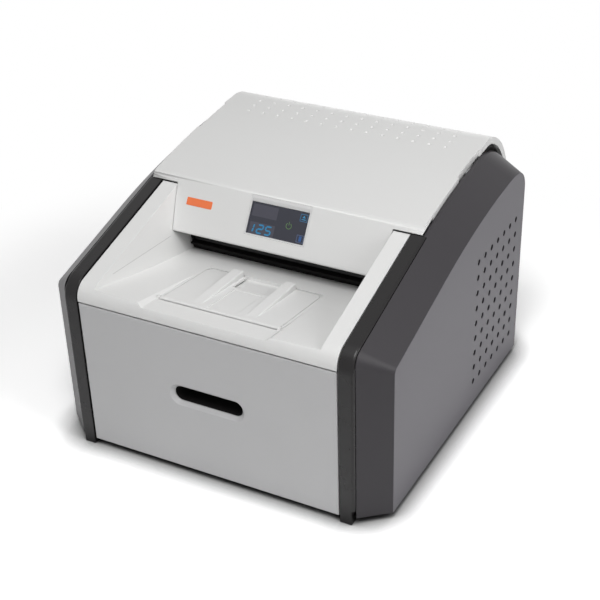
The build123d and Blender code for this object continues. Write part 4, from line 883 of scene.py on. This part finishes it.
def keep_shading(data, whole):
    """Shade what is left of a cut surface as the whole one was, so that no facet shows beside a cut."""
    # Each corner is looked up a little way inside its face, where the surface has only one slope.
    nudge, most, least_length = 0.3 * MM, 0.3, 1e-6
    same_slope, same_place = 0.9998, 1e-5
    corners = [vertex.co for vertex in whole.vertices]
    tree = BVHTree.FromPolygons(corners, [face.vertices[:] for face in whole.polygons])
    whole_normals = [corner.vector.copy() for corner in whole.corner_normals]
    normals = [corner.vector.copy() for corner in data.corner_normals]
    for face in data.polygons:
        for loop in face.loop_indices:
            place = data.vertices[data.loops[loop].vertex_index].co
            inwards = face.center - place
            share = min(most, nudge / max(inwards.length, least_length))
            near, way, index, distance = tree.find_nearest(place + inwards * share)
            if way.dot(face.normal) > same_slope and distance < same_place:
                source = whole.polygons[index]
                shares = poly_3d_calc([corners[v] for v in source.vertices], near)
                mixed = Vector((0, 0, 0))
                for part, corner in zip(shares, source.loop_indices):
                    mixed += whole_normals[corner] * part
                normals[loop] = mixed.normalized()
    data.normals_split_custom_set(normals)
    bpy.data.meshes.remove(whole)


def dimple_tree():
    """Rows of shallow round dimples, cut square to the surface of a shell wherever it curves."""
    tree, given = new_tree(
        "hood_dimples", Float=["Radius", "Depth", "First row"], Vector=["Pitch"], Int=["Columns", "Rows"]
    )
    radius, depth = given["Radius"], given["Depth"]
    columns, rows = given["Columns"], given["Rows"]
    pitch = add(tree, "ShaderNodeSeparateXYZ", {0: given["Pitch"]}).outputs
    across, along = (
        reckon(tree, "MULTIPLY", reckon(tree, "SUBTRACT", count, 1.0), spacing)
        for count, spacing in ((columns, pitch[0]), (rows, pitch[1]))
    )
    grid = add(
        tree,
        "GeometryNodeMeshGrid",
        {"Size X": across, "Size Y": along, "Vertices X": columns, "Vertices Y": rows},
    )
    middle = reckon(tree, "ADD", given["First row"], reckon(tree, "MULTIPLY", along, 0.5))
    above = vector(tree, 0.0, middle, 1.0)
    raised = add(tree, "GeometryNodeSetPosition", {"Geometry": grid.outputs["Mesh"], "Offset": above})
    ray = add(
        tree,
        "GeometryNodeRaycast",
        {"Target Geometry": given["Geometry"], "Ray Direction": (0, 0, -1), "Ray Length": 2.0},
    ).outputs
    # A dimple is the tip of a ball that stands above the surface.
    squares = reckon(tree, "ADD", reckon(tree, "POWER", radius, 2.0), reckon(tree, "POWER", depth, 2.0))
    ball_radius = reckon(tree, "DIVIDE", squares, reckon(tree, "MULTIPLY", depth, 2.0))
    lift = reckon(tree, "SUBTRACT", ball_radius, depth)
    out = add(tree, "ShaderNodeVectorMath", {0: ray["Hit Normal"], "Scale": lift}, operation="SCALE")
    centre = add(
        tree, "ShaderNodeVectorMath", {0: ray["Hit Position"], 1: out.outputs[0]}, operation="ADD"
    ).outputs[0]
    landed = add(tree, "GeometryNodeSetPosition", {"Geometry": raised.outputs[0], "Position": centre})
    ball = add(tree, "GeometryNodeMeshUVSphere", {"Segments": 24, "Rings": 24, "Radius": ball_radius})
    balls = scatter(tree, landed.outputs[0], ball.outputs["Mesh"])
    return end_tree(tree, carved(tree, given["Geometry"], balls), given["Material"])


def inset(name, axis, margin):
    """Two places a margin inside the ends of a CAD node along an axis, in millimetres."""
    low, high = (getattr(corner, axis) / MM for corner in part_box(name))
    return low + margin, high - margin


def point_object(name, places):
    """A mesh of single points with the way each one faces."""
    data = bpy.data.meshes.new(name)
    data.from_pydata([tuple(v * MM for v in place) for place, way in places], [], [])
    facing = data.attributes.new("facing", "FLOAT_VECTOR", "POINT")
    for i, (place, way) in enumerate(places):
        facing.data[i].vector = way
    return stand(name, data)


class AddScrews(bpy.types.Operator):
    """Add the pan head screws of the rear panel, the fan and the optics lid"""

    bl_idname = "imager.add_screws"
    bl_label = "Add screws"

    def execute(self, context):
        s = sizes()
        back, up = (0, 1, 0), (0, 0, 1)
        panel, fan, lid = "rear_panel", "fan_frame", "optics_lid"
        rear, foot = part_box(panel)[1].y / MM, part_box(panel)[0].z / MM + 9
        places = [((x, rear, z), back) for x in inset(panel, "x", 10) for z in (45, 170, 295)]
        places += [((x, rear, foot), back) for x in (-120, 0, 120)]
        places += [((x, rear, z), back) for x in inset(fan, "x", 5) for z in inset(fan, "z", 5)]
        left, right = inset(lid, "x", 10)
        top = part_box(lid)[1].z / MM - 3
        places += [((x, y, top), up) for x in (left, 0, right) for y in inset(lid, "y", 10)]
        # Zinc-plated screws with a faint yellow chromate tint.
        look = finish(
            "steel_screw_zinc_plated", "B7B6AE", "9E9E99",
           mottle=4, rough=(0.3, 0.08), grain=(0.8, 0.003), edge=0.2, shine=METAL,
        )
        values = {"Head radius": s.screw_head, "Head height": s.screw_height, "Material": look["material"]}
        data = apply_tree(point_object("screw_points", places), screw_tree(), values)
        place_piece("pan_head_screws", data, look["material"], "machine")
        return {"FINISHED"}


def film_tree():
    """A stack of sheets, each a little out of line with the one below."""
    tree, given = new_tree("film_sheets", Vector=["Sheet"], Int=["Count"], Float=["Pitch"])
    step = vector(tree, 0.0, 0.0, given["Pitch"])
    row = add(tree, "GeometryNodeMeshLine", {"Count": given["Count"], "Offset": step}, mode="OFFSET")
    least, most = (-0.3 * MM, -0.4 * MM, 0), (0.3 * MM, 0.4 * MM, 0)
    stray = add(
        tree, "FunctionNodeRandomValue", {0: least, 1: most, "Seed": 3}, data_type="FLOAT_VECTOR"
    )
    loose = add(tree, "GeometryNodeSetPosition", {"Geometry": row.outputs[0], "Offset": stray.outputs[0]})
    sheet = add(tree, "GeometryNodeMeshCube", {"Size": given["Sheet"]})
    sheets = scatter(tree, loose.outputs[0], sheet.outputs["Mesh"])
    return end_tree(tree, sheets, given["Material"])


class AddFilmSheets(bpy.types.Operator):
    """Replace the plain stack with separate sheets of film"""

    bl_idname = "imager.add_film_sheets"
    bl_label = "Add film sheets"

    def execute(self, context):
        s = sizes()
        low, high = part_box("film_stack")
        count, play = 125, 1.0 * MM
        # Polyester film with its emulsion: blue-grey and glossy all over; the darker cut edges of real film
        # are not drawn.
        look = finish(
            "polyester_film_cut", "56636E", "4F5C67",
           mottle=80, rough=(0.18, 0.03), grain=(4.0, 0.002), edge=0.1,
        )
        values = {
            "Sheet": (high.x - low.x - play, high.y - low.y - play, s.film_sheet),
            "Count": count,
            "Pitch": (high.z - low.z - s.film_sheet) / (count - 1),
            "Material": look["material"],
        }
        data = apply_tree(stand("film_seed", bpy.data.meshes.new("film_seed")), film_tree(), values)
        middle = (low + high) / 2
        for vertex in data.vertices:
            vertex.co += Vector((middle.x, middle.y, low.z + s.film_sheet / 2))
        sheets = place_piece("film_sheets", data, look["material"], "drawer")
        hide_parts("film_stack")
        return {"FINISHED"}


class AddRockerMarks(bpy.types.Operator):
    """Add the on and off marks of the power rocker"""

    bl_idname = "imager.add_rocker_marks"
    bl_label = "Add rocker marks"

    def execute(self, context):
        low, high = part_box("power_rocker")
        marks = bmesh.new()
        middle_x, middle_y, middle_z = (low + high) / 2
        ink, edge, offset = 0.1 * MM, 0.6 * MM, 5.5 * MM
        stroke, tall, inner, outer = 0.5 * MM, 2.2 * MM, 1.6 * MM, 2.4 * MM

        def face_y(z):
            """Depth of the rocker's dished face at a height, read from its own mesh."""
            half = (high.x - low.x) / 2 - edge
            corners = [vertex.co for vertex in nodes["power_rocker"].data.vertices]
            near = [co for co in corners if abs(co.x - middle_x) < half and co.y > middle_y]
            near.sort(key=lambda co: co.z)
            for a, b in zip(near, near[1:]):
                if a.z <= z <= b.z and b.z > a.z:
                    return a.y + (b.y - a.y) * (z - a.z) / (b.z - a.z)
            return high.y

        def strip(points):
            """A flat patch of ink that follows the dished face."""
            under, over = (
                [marks.verts.new((x, face_y(z) + lift, z)) for x, z in points] for lift in (-ink, ink)
            )
            slab(marks, under, over)

        z = middle_z + offset
        left, right = middle_x - stroke, middle_x + stroke
        strip([(left, z - tall), (right, z - tall), (right, z + tall), (left, z + tall)])
        z = middle_z - offset
        steps = 20
        for i in range(steps):
            a, b = (2 * math.pi * k / steps for k in (i, i + 1))
            turns = ((inner, a), (outer, a), (outer, b), (inner, b))
            strip([(middle_x + r * math.cos(t), z + r * math.sin(t)) for r, t in turns])
        # Pad-printed white ink.
        look = finish(
            "ink_pad_printed_white", "E6E6E4", "D9D9D7",
           mottle=4, rough=(0.5, 0.05), grain=(0.8, 0.001), edge=0.05,
        )
        make_piece("rocker_marks", marks, look["material"], "rocker")
        return {"FINISHED"}


def seen_ray(tree):
    """1 for a ray that shows its surface: straight, reflected or refracted."""
    rays = add(tree, "ShaderNodeLightPath").outputs
    seen = rays["Is Camera Ray"]
    for other in ("Is Glossy Ray", "Is Transmission Ray"):
        seen = reckon(tree, "MAXIMUM", seen, rays[other])
    return seen


def floor_paper(stage):
    """Matt white paper, seen whiter than it lights the object, so that only deep shadows show on it.

    They are deepest where the object stands, where a painted contact shadow from ambient occlusion darkens
    the paper further; beyond their reach it is as white as the backdrop."""
    paper = bpy.data.materials.new("paper_matt_white")
    tree = emptied(paper)
    fade, depth, gain = 1.7, 2.0, 1.6
    place = add(tree, "ShaderNodeTexCoord").outputs["Object"]
    reach = add(tree, "ShaderNodeVectorMath", {0: place}, operation="LENGTH").outputs["Value"]
    far = add(
        tree,
        "ShaderNodeMapRange",
        {"Value": reach, "From Min": stage.shadow, "From Max": stage.shadow * fade},
        interpolation_type="SMOOTHSTEP",
    ).outputs[0]
    # Painted contact shadow: ambient occlusion darkens the paper's seen colour where the object stands close
    # to it.
    near = add(tree, "ShaderNodeAmbientOcclusion", {"Distance": stage.painted_contact_shadow}, samples=16)
    white = reckon(tree, "MULTIPLY", reckon(tree, "POWER", near.outputs["AO"], depth), gain)
    matt = add(tree, "ShaderNodeBsdfDiffuse", {"Color": linear("F6F6F6")}).outputs[0]
    bright = add(tree, "ShaderNodeBsdfDiffuse", {"Color": white}).outputs[0]
    glow = add(tree, "ShaderNodeEmission", {"Color": (1, 1, 1, 1), "Strength": 1.0}).outputs[0]
    shown = add(tree, "ShaderNodeMixShader", {0: far, 1: bright, 2: glow}).outputs[0]
    either = add(tree, "ShaderNodeMixShader", {0: seen_ray(tree), 1: matt, 2: shown}).outputs[0]
    add(tree, "ShaderNodeOutputMaterial", {0: either})
    return paper


class AddStage(bpy.types.Operator):
    """Add the pale floor, the soft lamps and the camera"""

    bl_idname = "imager.add_stage"
    bl_label = "Add stage"

    def execute(self, context):
        scene = bpy.context.scene
        stage = scene.imager_stage
        world = bpy.data.worlds.new("soft_dome")
        scene.world = world
        tree = emptied(world)
        level = add(tree, "ShaderNodeMix", {0: seen_ray(tree), 2: stage.dome, 3: 1.0})
        sky = add(tree, "ShaderNodeBackground", {"Color": (1, 1, 1, 1), "Strength": level.outputs[0]})
        add(tree, "ShaderNodeOutputWorld", {0: sky.outputs[0]})

        data = bpy.data.meshes.new("floor")
        corners = [(x * stage.floor, y * stage.floor, 0) for x, y in ((-1, -1), (1, -1), (1, 1), (-1, 1))]
        data.from_pydata(corners, [], [(0, 1, 2, 3)])
        data.materials.append(floor_paper(stage))
        stand("floor", data)

        target = Vector((0, 0, 0.22))
        for name, place, spread, watts in (
            ("top_lamp", (0.1, -0.8, 2.5), 2.2, stage.top),
            ("key_lamp", (0.5, -1.5, 2.9), 1.2, stage.key),
            ("side_lamp", (2.4, -0.3, 1.5), 1.6, stage.side),
            ("back_lamp", (-0.8, 2.4, 0.6), 1.2, stage.back),
        ):
            lamp = bpy.data.lights.new(name, "AREA")
            lamp.size = spread
            lamp.energy = watts
            holder = stand(name, lamp)
            holder.location = place
            holder.rotation_euler = (target - Vector(place)).to_track_quat("-Z", "Y").to_euler()

        lens = bpy.data.cameras.new("camera")
        lens.sensor_width = 36
        lens.lens = 74.56
        lens.shift_x = -0.1148
        lens.shift_y = -0.0013
        lens.clip_end = 100
        camera = stand("camera", lens)
        camera.location = (0.9456, FRONT * MM - 1.3559, 1.2975)
        camera.rotation_euler = (math.radians(59.83), 0, math.radians(25.87))
        scene.camera = camera
        scene.view_settings.view_transform = "Standard"
        return {"FINISHED"}


STEPS = (
    FinishCasing,
    FinishBlackPlastic,
    FinishSteel,
    FinishAluminium,
    FinishRubber,
    FinishBoards,
    AddDisplayMarks,
    AddBadgePlate,
    AddScrews,
    AddFilmSheets,
    AddRockerMarks,
    AddStage,
)


class ImagerPanel(bpy.types.Panel):
    """Shows the imager's sizes, colours and stage settings, and a button for each step"""

    bl_idname = "VIEW3D_PT_imager"
    bl_label = "Dry laser imager"
    bl_space_type = "VIEW_3D"
    bl_region_type = "UI"
    bl_category = "Imager"

    def draw(self, context):
        for group in ("imager_sizes", "imager_colours", "imager_stage"):
            settings = getattr(context.scene, group)
            box = self.layout.box()
            for name in settings.__annotations__:
                box.prop(settings, name)
        for step in STEPS:
            self.layout.operator(step.bl_idname)


CLASSES = (ImagerColours, ImagerSizes, ImagerStage, *STEPS, ImagerPanel)


def register():
    for kind in CLASSES:
        bpy.utils.register_class(kind)
    bpy.types.Scene.imager_colours = bpy.props.PointerProperty(type=ImagerColours)
    bpy.types.Scene.imager_sizes = bpy.props.PointerProperty(type=ImagerSizes)
    bpy.types.Scene.imager_stage = bpy.props.PointerProperty(type=ImagerStage)


def unregister():
    del bpy.types.Scene.imager_colours
    del bpy.types.Scene.imager_sizes
    del bpy.types.Scene.imager_stage
    for kind in reversed(CLASSES):
        bpy.utils.unregister_class(kind)


def main():
    register()
    for step in STEPS:
        area, name = step.bl_idname.split(".")
        getattr(getattr(bpy.ops, area), name)()


if __name__ == "__main__":
    main()
